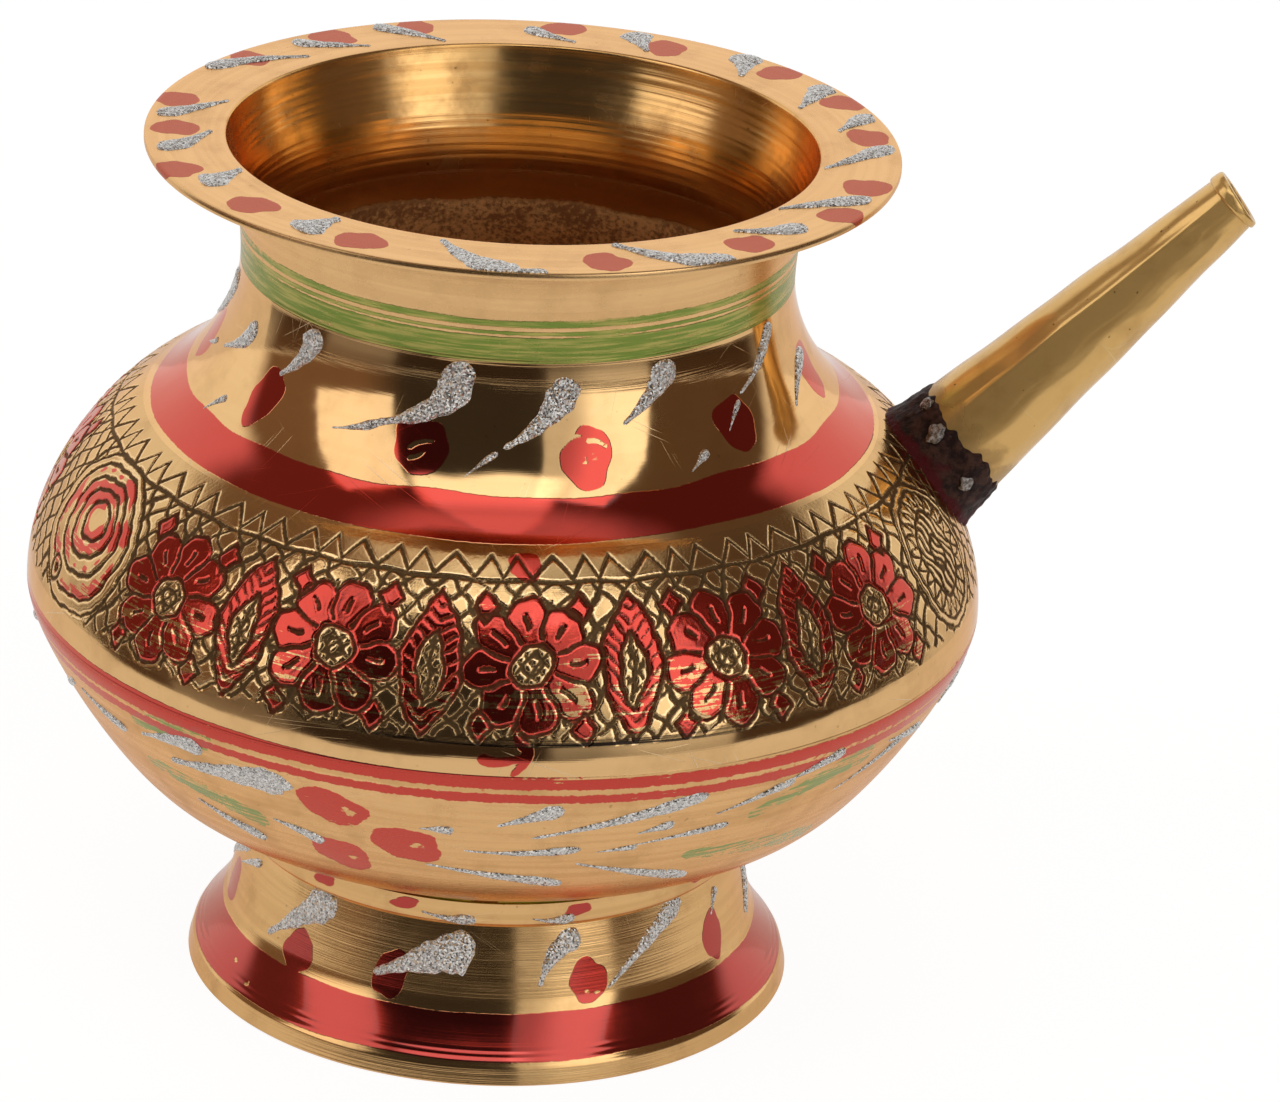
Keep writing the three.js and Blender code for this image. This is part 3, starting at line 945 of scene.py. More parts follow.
stripe_sway = -0.55 * np.sin(np.radians(body_turns - 6)) + wobble(body_turns, 11, 0.12)
stripe_half = 0.85 + 0.55 * np.sin(np.radians(body_turns - 8)) ** 2 + wobble(body_turns, 16, 0.1)
lower_sway = 0.6 * stripe_sway + wobble(body_turns, 12, 0.1)
lower_half = 0.72 + wobble(body_turns, 17, 0.12)
upper_stripe = np.abs(bowl_along - bowl_run(upper_level) - stripe_sway) - stripe_half
lower_stripe = np.abs(bowl_along - bowl_run(lower_level) - lower_sway) - lower_half
bowl_red = np.minimum.reduce([upper_stripe, lower_stripe, no_paint + 0 * upper_stripe])
front_dabs = [
    (-19.8, 43.0, 4.1, 3.3, -12), (-10.8, 38.4, 4.0, 3.6, -4), (-20.5, 34.6, 3.9, 3.0, -14)
]
front_leaves = [
    ((50.5, 45.4), (42.5, 44.0), (34.5, 41.2)),
    ((49.5, 32.6), (39.0, 34.4), (27.0, 35.7)),
    ((-36.5, 48.3), (-41.8, 47.9), (-47.8, 46.7)),
    ((-32.5, 37.4), (-39.8, 38.9), (-49.5, 39.8)),
]
bowl_dabs = [(turn + on, *rest) for on in (0, *further_round) for turn, *rest in front_dabs]
leaves = [
    [(turn + on, bowl_run(height)) for turn, height in leaf]
    for on in (0, *further_round)
    for leaf in front_leaves
]
bowl_green = np.full(bowl_red.shape, no_paint)
for leaf in leaves:
    blade = stroke(body_turns, bowl_along[outer_rows], bowl_radius_at[outer_rows], leaf, 1.7, 0.9)
    bowl_green[outer_rows] = np.minimum(bowl_green[outer_rows], blade)
worn_dabs = [(turn + 1.6, bowl_run(height - 0.3)) for turn, height, *_ in bowl_dabs]
bowl_dabs = along_outline(bowl_run, bowl_dabs)
bowl_red = dabbed(bowl_red, body_turns, bowl_along, bowl_radius_at, bowl_dabs, 60)
bowl_red = rubbed(bowl_red, body_turns, bowl_along, bowl_radius_at, worn_dabs, 0.9, 4)
runs = 0.55 * np.sin(np.radians(body_turns * 2 - 10)) + wobble(body_turns, 18, 0.25)
bowl_red = np.minimum(bowl_red, np.abs(bowl_along - bowl_run(run_level)) + 0.15 - runs)
bowl_red[len(bowl_outer) :] = no_paint

bowl_brass = painted_brass(
    "satin_bowl_brass", metal=(0.84, 0.52, 0.235, 1), dark=(0.66, 0.37, 0.14, 1), gloss=0.25,
    ring_depth=0.018, ring_tone=0.45, fine=5.0, coarse=0.9, wave=0.1, scratch=0.3, stain=0.3,
    red_wear=0.30, green_wear=0.62, ragged=0.8, green_body=0.4,
)
# The colours of the cast inside are raised well above those of dull cast brass: painted light, so
# that the shaded inside of the pot renders lighter.
cast_inside_with_painted_light = raw_brass(
    "raw_inside_brass_painted_light", colour=(0.95, 0.56, 0.23, 1), dark=(0.40, 0.19, 0.07, 1), rough=0.36,
    lump=0.22, turned_above=88.3,
)
bowl = piece(
    "bowl_turned",
    swept(bowl_outline, body_turns),
    [bowl_brass, cast_inside_with_painted_light],
    {"along": bowl_along + 0 * body_turns, "red_edge": bowl_red, "green_edge": bowl_green},
    inside=bowl_inside,
    row_loop=False,
    strips=3,
)
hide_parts("bowl")


# The girth seam. A brazed ring that joins bowl and shoulder, turned flush with both. Where
# the upper of the two red stripes rises over it, the lacquer covers it too.
def flush_ring(name, node_name, wall, material, red_value, green_value):
    """A brazed seam as a plain ring between two turned pieces, its outer edge eased."""
    outer, base, top = turned_size(*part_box(node_name))
    ease = (top - base) / 8
    outline = np.array(
        [
            (outer - wall, base),
            (outer - ease / 2, base),
            (outer, base + ease),
            (outer, top - ease),
            (outer - ease / 2, top),
            (outer - wall, top),
        ]
    )
    outside = (outline[:, :1] > outer - wall / 2) + 0 * body_turns
    paints = {
        "along": run_along(outline)[:, None] + 0 * body_turns,
        "red_edge": np.where(outside, red_value, no_paint),
        "green_edge": np.where(outside, green_value, no_paint),
    }
    made = piece(name, swept(outline, body_turns), [material], paints, strips=4)
    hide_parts(node_name)


above_stripe = bowl_run(girth_height) - bowl_run(upper_level)
seam_middle, seam_top = 0.2, 0.55
seam_red = np.abs(above_stripe + seam_middle - stripe_sway) - stripe_half
flush_ring("girth_braze", "girth_seam", body_wall, bowl_brass, seam_red, no_paint)


# The shoulder. The upper half of the belly, drawn in to the root of the neck and polished
# like a mirror; a shallow step is left for the engraved belt, which is shown on its own.
shoulder_base, shoulder_top = turned_size(*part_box("shoulder"))[1:]
neck_radius = turned_size(*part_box("neck_seam"))[0]
neck_wall = 1.5
break_out = 11.8
break_rise = 22.2
break_angle = math.radians(60.7)
shoulder_girth_pull = 8.2
break_pull_down = 7.5
break_pull_up = 11.2
shoulder_neck_pull = 3.2
belt_low, belt_high = 54.3, 73.35
belt_skin = 0.7
red_band = (73.75, 77.5)

break_point = np.array((neck_radius + break_out, shoulder_base + break_rise))
slope = np.array((-math.sin(break_angle), math.cos(break_angle)))
shoulder_curve = np.vstack(
    [
        curve(
            (girth_radius, shoulder_base),
            (girth_radius, shoulder_base + shoulder_girth_pull),
            break_point - slope * break_pull_down,
            break_point,
            90,
        )[:-1],
        curve(
            break_point,
            break_point + slope * break_pull_up,
            (neck_radius, shoulder_top - shoulder_neck_pull),
            (neck_radius, shoulder_top),
            84,
        ),
    ]
)
shoulder_run = run_along(shoulder_curve)


def shoulder_at(height):
    """Distance run up the shoulder's outline at a height."""
    return np.interp(height, shoulder_curve[:, 1], shoulder_run)


def outline_between(low, high, steps):
    """Points of the shoulder's outline, evenly spaced between two distances along it."""
    run = np.linspace(low, high, steps)
    radius = np.interp(run, shoulder_run, shoulder_curve[:, 0])
    return np.stack([radius, np.interp(run, shoulder_run, shoulder_curve[:, 1])], 1)


belt_from, belt_to = shoulder_at(belt_low), shoulder_at(belt_high)
under_belt = outline_between(0, belt_from, 14)
behind_belt = outline_between(belt_from, belt_to, 30)
behind_belt = behind_belt - outward(behind_belt, False) * belt_skin
over_belt = outline_between(belt_to, shoulder_run[-1], 62)
shoulder_inner = outline_between(0, shoulder_run[-1], 46)
shoulder_inner = shoulder_inner - outward(shoulder_inner, False) * body_wall
shoulder_inner[0] = (girth_radius - body_wall, shoulder_base)
shoulder_inner[-1] = (neck_radius - neck_wall, shoulder_top)
shoulder_outline = np.vstack([under_belt, behind_belt, over_belt, shoulder_inner[::-1]])
shoulder_outer_rows = len(under_belt) + len(behind_belt) + len(over_belt)
shoulder_inside = np.arange(len(shoulder_outline)) >= shoulder_outer_rows
shoulder_along = np.r_[
    np.linspace(0, belt_from, len(under_belt)),
    np.linspace(belt_from, belt_to, len(behind_belt)),
    np.linspace(belt_to, shoulder_run[-1], len(over_belt)),
    shoulder_run[-1] + np.arange(len(shoulder_inner)),
][:, None]
shoulder_radius_at = shoulder_outline[:, :1]

band_edges_run = shoulder_at(red_band)
band_middle = (band_edges_run[0] + band_edges_run[1]) / 2
band_half = (band_edges_run[1] - band_edges_run[0]) / 2
shoulder_red = np.abs(shoulder_along - band_middle - wobble(body_turns, 31, 0.42))
shoulder_red = shoulder_red - band_half - wobble(body_turns, 32, 0.3)
shoulder_dabs = [
    (-52.8, 81.5, 2.6, -16), (-16.5, 81.6, 3.2, 10), (14.2, 81.1, 3.0, 4), (46.8, 82.0, 2.8, 14),
    (78.8, 82.3, 2.8, 10), (108.9, 82.0, 2.9, 6), (141.7, 81.6, 2.8, -8), (174.6, 82.2, 3.0, 12),
    (207.4, 81.8, 2.7, 3), (240.3, 82.1, 2.9, 9), (273.1, 81.7, 2.8, -5),
]
shoulder_dabs = [
    (turn, shoulder_at(height), wide, 3.7, lean) for turn, height, wide, lean in shoulder_dabs
]
shoulder_red = dabbed(
    shoulder_red, body_turns, shoulder_along, shoulder_radius_at, shoulder_dabs, 80
)


def shoulder_stroke(path, widest, narrowest, rows=slice(None)):
    """Signed distance to a stroke on the shoulder, whose path is given by turn and height."""
    path = along_outline(shoulder_at, path)
    return stroke(
        body_turns, shoulder_along[rows], shoulder_radius_at[rows], path, widest, narrowest
    )


for bare_arc in (
    [(9.6, 82.5), (11.4, 83.3), (13.4, 83.4)],
    [(14.8, 82.9), (16.4, 82.8), (18.0, 82.2)],
    [(-18.4, 81.2), (-16.6, 81.9), (-14.2, 82.1)],
    [(-18.0, 80.2), (-16.8, 80.4), (-15.6, 80.9)],
):
    shoulder_red = np.maximum(shoulder_red, -shoulder_stroke(bare_arc, 0.34, 0.16))
shoulder_bare = along_outline(shoulder_at, [(14.0, 80.9), (16.0, 81.2)])
shoulder_red = rubbed(
    shoulder_red, body_turns, shoulder_along, shoulder_radius_at, shoulder_bare, 0.45, 6
)
low_rows = slice(len(under_belt))
smear = shoulder_stroke([(3.0, 54.7), (3.6, 53.2), (1.9, 50.9)], 0.8, 0.22, low_rows)
pool = shoulder_stroke([(-1.4, 52.8), (0.4, 52.5), (3.2, 53.2)], 0.72, 0.3, low_rows)
stripe = shoulder_along[low_rows] + seam_top + above_stripe - stripe_sway - stripe_half
shoulder_red[low_rows] = np.minimum.reduce([smear, pool, stripe, shoulder_red[low_rows]])
shoulder_red[shoulder_inside] = no_paint

mirror_brass = painted_brass(
    "polished_shoulder_brass", metal=(0.82, 0.52, 0.235, 1), dark=(0.68, 0.40, 0.16, 1),
    gloss=0.07, ring_depth=0.0035, ring_tone=0.14, fine=4.0, coarse=0.7, wave=0.22, scratch=1.0,
    stain=0.22, red_wear=0.12, green_wear=0.5, ragged=0.25, lathe_from=43.5,
)
shoulder = piece(
    "shoulder_polished",
    swept(shoulder_outline, body_turns),
    [mirror_brass, cast_inside_with_painted_light],
    {
        "along": shoulder_along + 0 * body_turns,
        "red_edge": shoulder_red,
        "green_edge": 0 * shoulder_red + no_paint,
    },
    inside=shoulder_inside,
    strips=3,
)
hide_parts("shoulder")


# The engraved belt. The widest part of the shoulder, cut by hand with a walking graver into
# cross hatching, with lotus flowers and leaves left standing and filled with red lacquer.
def groove(distance, depth, width):
    """Depth of a hand-cut groove from the distance to its middle line: a round-bottomed cut
    with a low burr thrown up on each side."""
    cut = -depth * np.exp(-((distance / width) ** 2))
    burr = 0.12 * depth * np.exp(-(((np.abs(distance) - 1.7 * width) / width) ** 2))
    return cut + burr


def hatch_lines(turns, along, around, rise, seed):
    """Distance to the nearest of two crossing families of slanting lines, so many around the
    pot and each rising so far before the next. Each line stands a little out of its even
    place, and wanders as it goes."""
    draw = np.random.default_rng(seed)
    nearest = None
    angle = np.radians(turns)
    drift = 0.10 * np.sin(angle * 23 + along * 0.9) + 0.07 * np.sin(angle * 61 - along * 1.7)
    for side in (1, -1):
        phase = around * turns / 360 + side * along / rise + drift
        line_number = np.round(phase).astype(int)
        shift = draw.uniform(-0.13, 0.13, 2 * around)[line_number % (2 * around)]
        pitch = 1 / math.hypot(around / (2 * math.pi * girth_radius * belt_mean), 1 / rise)
        distance = np.abs(phase - line_number - shift) * pitch
        nearest = distance if nearest is None else np.minimum(nearest, distance)
    return nearest


def local(turns, along, centre):
    """Millimetres round and up the belt from a centre (turn, along), bent a little by the
    unsteadiness of the hand that held the graver."""
    radius = np.interp(centre[1], shoulder_run, shoulder_curve[:, 0])
    local_radius = np.interp(along, shoulder_run, shoulder_curve[:, 0])
    x = np.radians(from_turn(turns, centre[0])) * (0.5 * radius + 0.5 * local_radius)
    y = along - centre[1] + 0 * x
    start = centre[0] * 0.7
    bent = 0.22 * np.sin(0.9 * y + start) + 0.10 * np.sin(2.3 * y - 1.4 * x + 2 * start)
    risen = 0.20 * np.sin(0.8 * x + 1.3 * start) + 0.10 * np.sin(2.1 * x + 1.7 * y + start)
    return x + bent, y + risen


def lotus(x, y, size, petals, lean):
    """An open lotus seen from above. Gives the signed distance to its edge, the distance to
    its cut lines and the signed distance to its bare heart: the edge is a circle swelled by
    each petal, and lines run between the petals, up their middles and round the heart."""
    reach = np.hypot(x, y)
    bearing = np.arctan2(y, x) + lean
    swell = np.abs(np.cos(petals * bearing / 2)) ** 0.8
    edge = reach - size * (0.78 + 0.24 * swell)
    half_step = math.pi / petals
    between = (bearing + half_step) % (2 * half_step) - half_step
    between = np.abs(np.abs(between) - half_step)
    gap = np.where((reach > 0.36 * size) & (reach < 0.98 * size), reach * np.sin(between), far_off)
    vein = (bearing + half_step) % (2 * half_step) - half_step
    vein = np.where((reach > 0.52 * size) & (reach < 0.76 * size), reach * np.abs(vein), far_off)
    heart = reach - 0.30 * size
    ring = np.minimum(np.abs(heart), np.abs(reach - 0.13 * size))
    cuts = np.minimum.reduce([np.abs(edge), gap, vein, ring])
    return edge, cuts, heart


def leaf_pair(x, y, size, lean):
    """A pointed upright leaf inside a larger one. Gives the signed distance to its edge, the
    distance to its cut lines and the signed distance to its bare middle."""
    x, y = leaning(x, y, lean)
    rise = np.clip(1 - (y / size) ** 2, 0, 1)
    edge = np.abs(x) - 0.42 * size * rise
    edge = np.maximum(edge, np.abs(y) - size) * 0.9
    core_rise = np.clip(1 - ((y + 0.06 * size) / (0.52 * size)) ** 2, 0, 1)
    core = (np.abs(x) - 0.19 * size * core_rise) * 0.9
    core = np.maximum(core, np.abs(y + 0.06 * size) - 0.52 * size)
    rib = np.where(np.abs(y) < 0.46 * size, np.abs(x), far_off)
    vein_phase = (y - np.abs(x) * 0.9) / (0.19 * size)
    vein = np.abs(vein_phase - np.round(vein_phase)) * 0.19 * size * 0.74
    vein = np.where((core > 0.25) & (edge < -0.3), vein, far_off)
    cuts = np.minimum.reduce([np.abs(edge), np.abs(core), rib, vein + 0.12])
    return edge, cuts, core


def nested_ovals(x, y, wide, tall, lean):
    """Ovals cut one inside another, which crowd towards one end, with a small ring at the
    other. Gives the outer edge, the cuts, and the signed distance to the tinted rings."""
    x, y = leaning(x, y, lean)
    size = math.sqrt(wide * tall)
    edge = (np.sqrt((x / wide) ** 2 + (y / tall) ** 2) - 1) * size
    cuts = np.abs(edge)
    tint = np.full(np.shape(edge), far_off)
    for share, shift in ((0.84, 0.25), (0.62, 0.8), (0.44, 1.2), (0.26, 1.6)):
        ring = np.sqrt((x / wide) ** 2 + ((y - shift) / tall) ** 2) - share
        cuts = np.minimum(cuts, np.abs(ring * size))
        tint = np.minimum(tint, np.abs(ring * size + 0.75) - 0.5)
    small = np.hypot(x + 0.1 * wide, y + 0.78 * tall)
    cuts = np.where(small < 1.9, far_off, cuts)
    cuts = np.minimum.reduce([cuts, np.abs(small - 1.4), np.abs(small - 0.4)])
    return edge, cuts, np.minimum(tint, small - 1.1)


def medallion(x, y, wide, tall):
    """A framed oval: two rings, a band of small triangles inside the frame, and a smaller
    oval with slanting strokes. Gives its edge and its cuts."""
    reach = np.sqrt((x / wide) ** 2 + (y / tall) ** 2)
    bearing = np.arctan2(y / tall, x / wide)
    size = math.sqrt(wide * tall)
    edge = (reach - 1) * size
    rings_cut = np.minimum(np.abs(edge), np.abs(edge + 1.1))
    inner = (reach - 0.56) * size
    rings_cut = np.minimum(rings_cut, np.abs(inner))
    teeth = bearing * 11 / math.pi
    tooth = np.abs(teeth - np.round(teeth)) * 2
    teeth_cut = np.abs(edge + 1.4 + 2.2 * tooth) * 0.6
    teeth_cut = np.where((edge < -1.1) & (inner > 0.25), teeth_cut, far_off)
    slant = (x + 0.55 * y + 0.35 * np.sin(y * 1.3)) / 1.35
    strokes = np.abs(slant - np.round(slant)) * 1.35 * 0.88
    strokes = np.where(inner < -0.35, strokes, far_off)
    core = np.abs((reach - 0.22) * size)
    cuts = np.minimum.reduce([rings_cut, teeth_cut, strokes, core])
    return edge, cuts


belt_mean = 0.95
flower_size = 8.0
flower_step = 24.6
leaf_size = 8.6
gem_wide, gem_tall = 1.5, 1.9
motif_middle = shoulder_at(54.9) + flower_size + 0.55
garlands = ((4.0, 5), (204.5, 6))
ground_low = shoulder_at(55.0)
zigzag_low, zigzag_high = shoulder_at(70.75), shoulder_at(72.95)
hatch_around = 98
hatch_rise = 3.9
zigzag_around = 80
ovals_middle = (-66.0, shoulder_at(63.6))
ovals_wide, ovals_tall, ovals_lean = 11.2, 9.4, -20
medallions = ((72.5, shoulder_at(63.4)), (115.5, shoulder_at(63.4)))
medallion_wide, medallion_tall = 8.2, 9.2
deep_cut, deep_width = 0.18, 0.24
fine_cut, fine_width = 0.14, 0.22
figure_rise, figure_ease = 0.05, 0.4
far_off = 9.0
edge_width = 0.4
scuff_height = 55.6
belt_rows = 106
belt_columns = 830
skin_rows = 9


def belt_carving(turns, along):
    """Everything cut into the belt, on a grid of turns and distances along the shoulder:
    the height of the surface, the distance to the nearest cut and the lacquer's edge. Each
    figure brings the distances down to its own, but only near its edge and inside it."""
    hatch = hatch_lines(turns, along, hatch_around, hatch_rise, 5)
    fields = {key: np.full(hatch.shape, far_off) for key in ("edge", "cuts", "red", "bare")}

    def set_in(near, **figure):
        """Brings the fields named down to the figure's own values, where near is true."""
        for key, values in figure.items():
            fields[key] = np.where(near, np.minimum(fields[key], values), fields[key])

    for centre, count in garlands:
        for place in range(2 * count - 1):
            shift = (place - count + 1) * flower_step / 2
            turn = centre + shift
            uneven = 0.25 * math.sin(turn * 1.7)
            x, y = local(turns, along, (turn, motif_middle + uneven))
            if place % 2:
                edge, cuts, heart = leaf_pair(x, y, leaf_size, 4 * math.sin(turn))
            else:
                edge, cuts, heart = lotus(x, y, flower_size, 8, 0.2 * math.sin(turn * 3))
            set_in(edge < 2.5, edge=edge, cuts=cuts, red=np.maximum(edge, -heart), bare=heart)
            for side, level in ((-0.25, 0.80), (0.25, 0.80), (-0.25, -0.82), (0.25, -0.82)):
                gem = (turn + side * flower_step, motif_middle + level * leaf_size)
                x, y = local(turns, along, gem)
                edge = (np.abs(x) / gem_wide + np.abs(y) / gem_tall - 1) * 1.15
                set_in(edge < 1.5, edge=edge, cuts=np.abs(edge), red=edge)
    for centre in medallions:
        x, y = local(turns, along, centre)
        edge, cuts = medallion(x, y, medallion_wide, medallion_tall)
        set_in(edge < 1.5, edge=edge, cuts=cuts)
    x, y = local(turns, along, ovals_middle)
    edge, cuts, tint = nested_ovals(x, y, ovals_wide, ovals_tall, ovals_lean)
    brushed = tint + 0.5 * np.sin(y * 0.9 - x * 0.5) + 0.25 * np.sin(x * 2.3 + y)
    set_in(edge < 1.5, edge=edge, cuts=cuts, red=brushed + 0.25)
    saw = zigzag_around * turns / 360 + 0.12 * np.sin(np.radians(turns) * 29)
    tooth = np.abs(saw - np.round(saw)) * 2
    zigzag_at = zigzag_low + 0.4 + (zigzag_high - zigzag_low - 0.8) * tooth
    zigzag = np.abs(along - zigzag_at) * 0.66
    zigzag = np.where((along > zigzag_low) & (along < zigzag_high), zigzag, far_off)
    rule = np.abs(along - zigzag_low - 0.12 * np.sin(np.radians(turns) * 37))
    ground = (along > ground_low + 0.5 * np.sin(np.radians(turns) * 71)) & (along < zigzag_low)
    hatch = np.where(ground & (fields["edge"] > 0.30), hatch, far_off)
    heart_hatch = hatch_lines(turns, along, 2 * hatch_around, hatch_rise / 2, 6)
    hatch = np.where(fields["bare"] < -0.45, np.minimum(hatch, heart_hatch + 0.05), hatch)
    cuts = np.minimum.reduce([hatch, fields["cuts"], zigzag, rule])
    deep = groove(np.minimum(fields["cuts"], rule), deep_cut, deep_width)
    shallow = groove(np.minimum(hatch, zigzag), fine_cut, fine_width)
    level = figure_rise * np.clip(-fields["edge"] / figure_ease, 0, 1)
    height = np.minimum(deep, shallow) + np.maximum(deep, 0) + level
    return height, cuts, fields["red"]


def stray_lacquer(turns, along, red):
    """The lacquer's edge on the belt with its stray marks: a dab on the zigzag, a run over
    the belt's lower edge, and the foot of the red band above it."""
    radius = np.interp(along, shoulder_run, shoulder_curve[:, 0])
    dab = spot(turns, along, radius, (3.0, shoulder_at(72.0)), 2.0, 1.9, 0, 7)
    run_path = along_outline(shoulder_at, [(2.4, 57), (2.9, 55.5), (3.0, 54.2)])
    run = stroke(turns, along, radius, run_path, 1.0, 0.85)
    band = band_middle - band_half + wobble(turns, 31, 0.42) - wobble(turns, 32, 0.3) - along
    return np.minimum.reduce([red - 0.22, dab, run, band])


def engraved_brass():
    """Polished brass with dark patina packed into the cuts, red lacquer on the figures that
    is rubbed through in streaks, and scuffs along the lower edge."""
    material, tree, shader = finish_of(
        "engraved_brass", Metallic=1.0, Coat_Roughness=0.08, Coat_IOR=lacquer_ior,
        Specular_Tint=metal_edge_tint,
    )
    along = laid(tree, "along")
    steps = noise(tree, here(tree), 2.4, 2.0, 0.6)
    heavy = noise(tree, here(tree), 0.11, 1.0)
    uneven, patchy = (sums(tree, "SUBTRACT", value, 0.5) for value in (steps, heavy))
    worked = weighed(tree, laid(tree, "cut"), (uneven, 0.42), (patchy, 0.34))
    dark = slide(tree, worked, 0.16, 0.33, 1.0, 0.0)
    bright = slide(tree, worked, 0.33, 0.42)
    bright = sums(tree, "MULTIPLY", bright, slide(tree, worked, 0.44, 0.62, 1.0, 0.0))
    ring = placed(tree, rings, along=along, fine=4.0, coarse=0.8)
    soil = placed(tree, stains, amount=0.5)
    mark = placed(tree, scratches, along=along, amount=1.0)["Mask"]
    wear = slide(tree, along, 9.0, 17.0, 0.60, 0.34)
    edge = laid(tree, "red_edge")
    red = placed(tree, lacquer, edge=edge, along=along, wear=wear, ragged=0.4)
    slow = placed(tree, waves)["Height"]
    colour = mixed(tree, soil["Cloud"], belt_metal, belt_brown)
    colour = mixed(tree, bright, colour, belt_bright)
    colour = mixed(tree, red["Cover"], colour, red_film)
    patina = mixed(tree, steps, patina_black, patina_brown)
    colour = mixed(tree, sums(tree, "MULTIPLY", dark, 0.9), colour, patina)
    streak = slide(tree, combed(tree, along, 5.0, 60.0, 3.0), 0.42, 0.56)
    scuffed = sums(tree, "MULTIPLY", laid(tree, "scuff"), streak)
    colour = mixed(tree, scuffed, colour, scuff_brown)
    rough = weighed(tree, 0.13, (dark, 0.4), (soil["Cloud"], 0.15))
    open_cut = sums(tree, "SUBTRACT", 1.0, dark)
    coat = sums(tree, "MULTIPLY", sums(tree, "MULTIPLY", red["Cover"], open_cut), 0.3)
    height = weighed(tree, 0.0, (ring["Height"], 0.006), (slow, 0.4), (steps, 0.014))
    height = weighed(tree, height, (dark, -0.05), (mark, -0.004))
    tree.links.new(coat, shader.inputs["Coat Weight"])
    dress(tree, shader, colour, rough, height)
    return material


belt_metal = (0.70, 0.45, 0.20, 1)
belt_brown = (0.36, 0.22, 0.09, 1)
belt_bright = (0.90, 0.64, 0.34, 1)
patina_black = (0.020, 0.010, 0.005, 1)
patina_brown = (0.12, 0.065, 0.028, 1)
scuff_brown = (0.05, 0.035, 0.025, 1)
belt_brass = engraved_brass()
belt_outer = outline_between(belt_from, belt_to, belt_rows)
belt_skin_line = outline_between(belt_from, belt_to, skin_rows)
belt_skin_line = belt_skin_line - outward(belt_skin_line, False) * (belt_skin - 0.02)
belt_outline = np.vstack([belt_outer, belt_skin_line[::-1]])
belt_along = np.r_[
    np.linspace(belt_from, belt_to, belt_rows), np.linspace(belt_to, belt_from, skin_rows)
][:, None]
belt_cap = np.r_[
    np.stack([np.linspace(0, 1, belt_rows), np.zeros(belt_rows)], 1),
    np.stack([np.linspace(1, 0, skin_rows), np.ones(skin_rows)], 1),
]
for belt_name, first_turn in (("belt_front", spout_turn - 180), ("belt_back", spout_turn)):
    belt_turns = np.linspace(first_turn, first_turn + 180, belt_columns)[None, :]
    carved, cut_distance, lacquer_edge = belt_carving(belt_turns, belt_along)
    lacquer_edge = stray_lacquer(belt_turns, belt_along, lacquer_edge)
    edge_fade = np.minimum(belt_along - belt_from, belt_to - belt_along) / edge_width
    edge_fade = np.clip(edge_fade, 0, 1)
    raised = np.where(np.arange(len(belt_outline))[:, None] < belt_rows, carved * edge_fade, 0.0)
    scuffed = np.exp(-(((from_turn(belt_turns, 6) - 2) / 26) ** 4))
    scuffed = scuffed * np.clip((shoulder_at(scuff_height) - belt_along) / 0.8, 0, 1)
    belt = piece(
        belt_name,
        swept(belt_outline, belt_turns[0], raised, closed=False),
        [belt_brass],
        {
            "along": belt_along + 0 * belt_turns,
            "cut": cut_distance,
            "red_edge": lacquer_edge,
            "scuff": scuffed,
        },
        column_loop=False,
        caps=belt_cap,
        strips=4,
        sharp=60,
    )


# The neck seam. A brazed ring that joins shoulder and neck, turned flush with both, under
# the lowest part of the neck's green band.
seam_green = -0.4
neck_brass = painted_brass(
    "turned_neck_brass", metal=(0.86, 0.545, 0.25, 1), dark=(0.70, 0.42, 0.18, 1), gloss=0.24,
    ring_depth=0.012, ring_tone=0.30, fine=4.2, coarse=1.1, wave=0.1, scratch=0.25, stain=0.2,
    red_wear=0.06, green_wear=0.34, ragged=0.3, tint=(0.46, 0.085, 0.055, 1), film_shine=0.06,
    green_body=0.45,
)
flush_ring("neck_braze", "neck_seam", neck_wall, neck_brass, no_paint, seam_green)


# The neck and rim. One casting, turned inside and out: a waisted neck with a green band, a
# wide thin flange with red dabs on its top, and a bright bore with coarse lathe rings.
rim_radius, rim_base, rim_top = turned_size(*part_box("neck_rim"))
neck_flare_out = 4.3
neck_pull = 6.0
neck_flare_pull = 2.6
mouth_radius = neck_radius + 2.1
mouth_draw_in = 0.9
mouth_pull = 4.5
rim_edge_thickness = 0.9
rim_root_thickness = 1.4
rim_bevel = 0.22
corner_width = 0.35
mouth_inner = mouth_radius - 0.05
mouth_start = rim_top - 0.45
green_top = 97.05

flare_end = (neck_radius + neck_flare_out, rim_top - rim_root_thickness)
neck_outer = curve(
    (neck_radius, rim_base),
    (neck_radius, rim_base + neck_pull),
    (neck_radius + neck_flare_out - neck_flare_pull, flare_end[1]),
    flare_end,
    44,
)
flange_under = line(flare_end, (rim_radius - rim_bevel, rim_top - rim_edge_thickness), 12)[1:]
eased = np.array([(-1, 0), (-0.3, 0.3), (0, 1)]) * rim_bevel
lower_edge = eased + (rim_radius, rim_top - rim_edge_thickness)
upper_edge = eased[::-1] * (1, -1) + (rim_radius, rim_top)
flange_edge = np.vstack([lower_edge, upper_edge])
mouth_edge = (mouth_radius + corner_width, rim_top)
flange_top = line((rim_radius - rim_bevel, rim_top), mouth_edge, 26)[1:]
mouth_corner = curve(
    mouth_edge,
    (mouth_radius + 0.1, rim_top),
    (mouth_inner, rim_top - 0.15),
    (mouth_inner, mouth_start),
    4,
)[:-1]
bore = curve(
    (mouth_inner, mouth_start),
    (mouth_radius - mouth_draw_in, rim_top - mouth_pull),
    (neck_radius - neck_wall, rim_base + neck_pull),
    (neck_radius - neck_wall, rim_base),
    88,
)
bore_run = run_along(bore)
bore_rings = 0.006 * np.sin(bore_run * 6.6 + 0.9 * np.sin(bore_run * 1.3))
bore_rings += 0.004 * np.sin(bore_run * 3.1 + 2.0) + 0.02 * np.sin(bore_run * 0.9 + 1.0)
bore_rings *= np.clip(bore_run / 2.5, 0, 1) * np.clip((bore_run[-1] - bore_run) / 1.0, 0, 1)
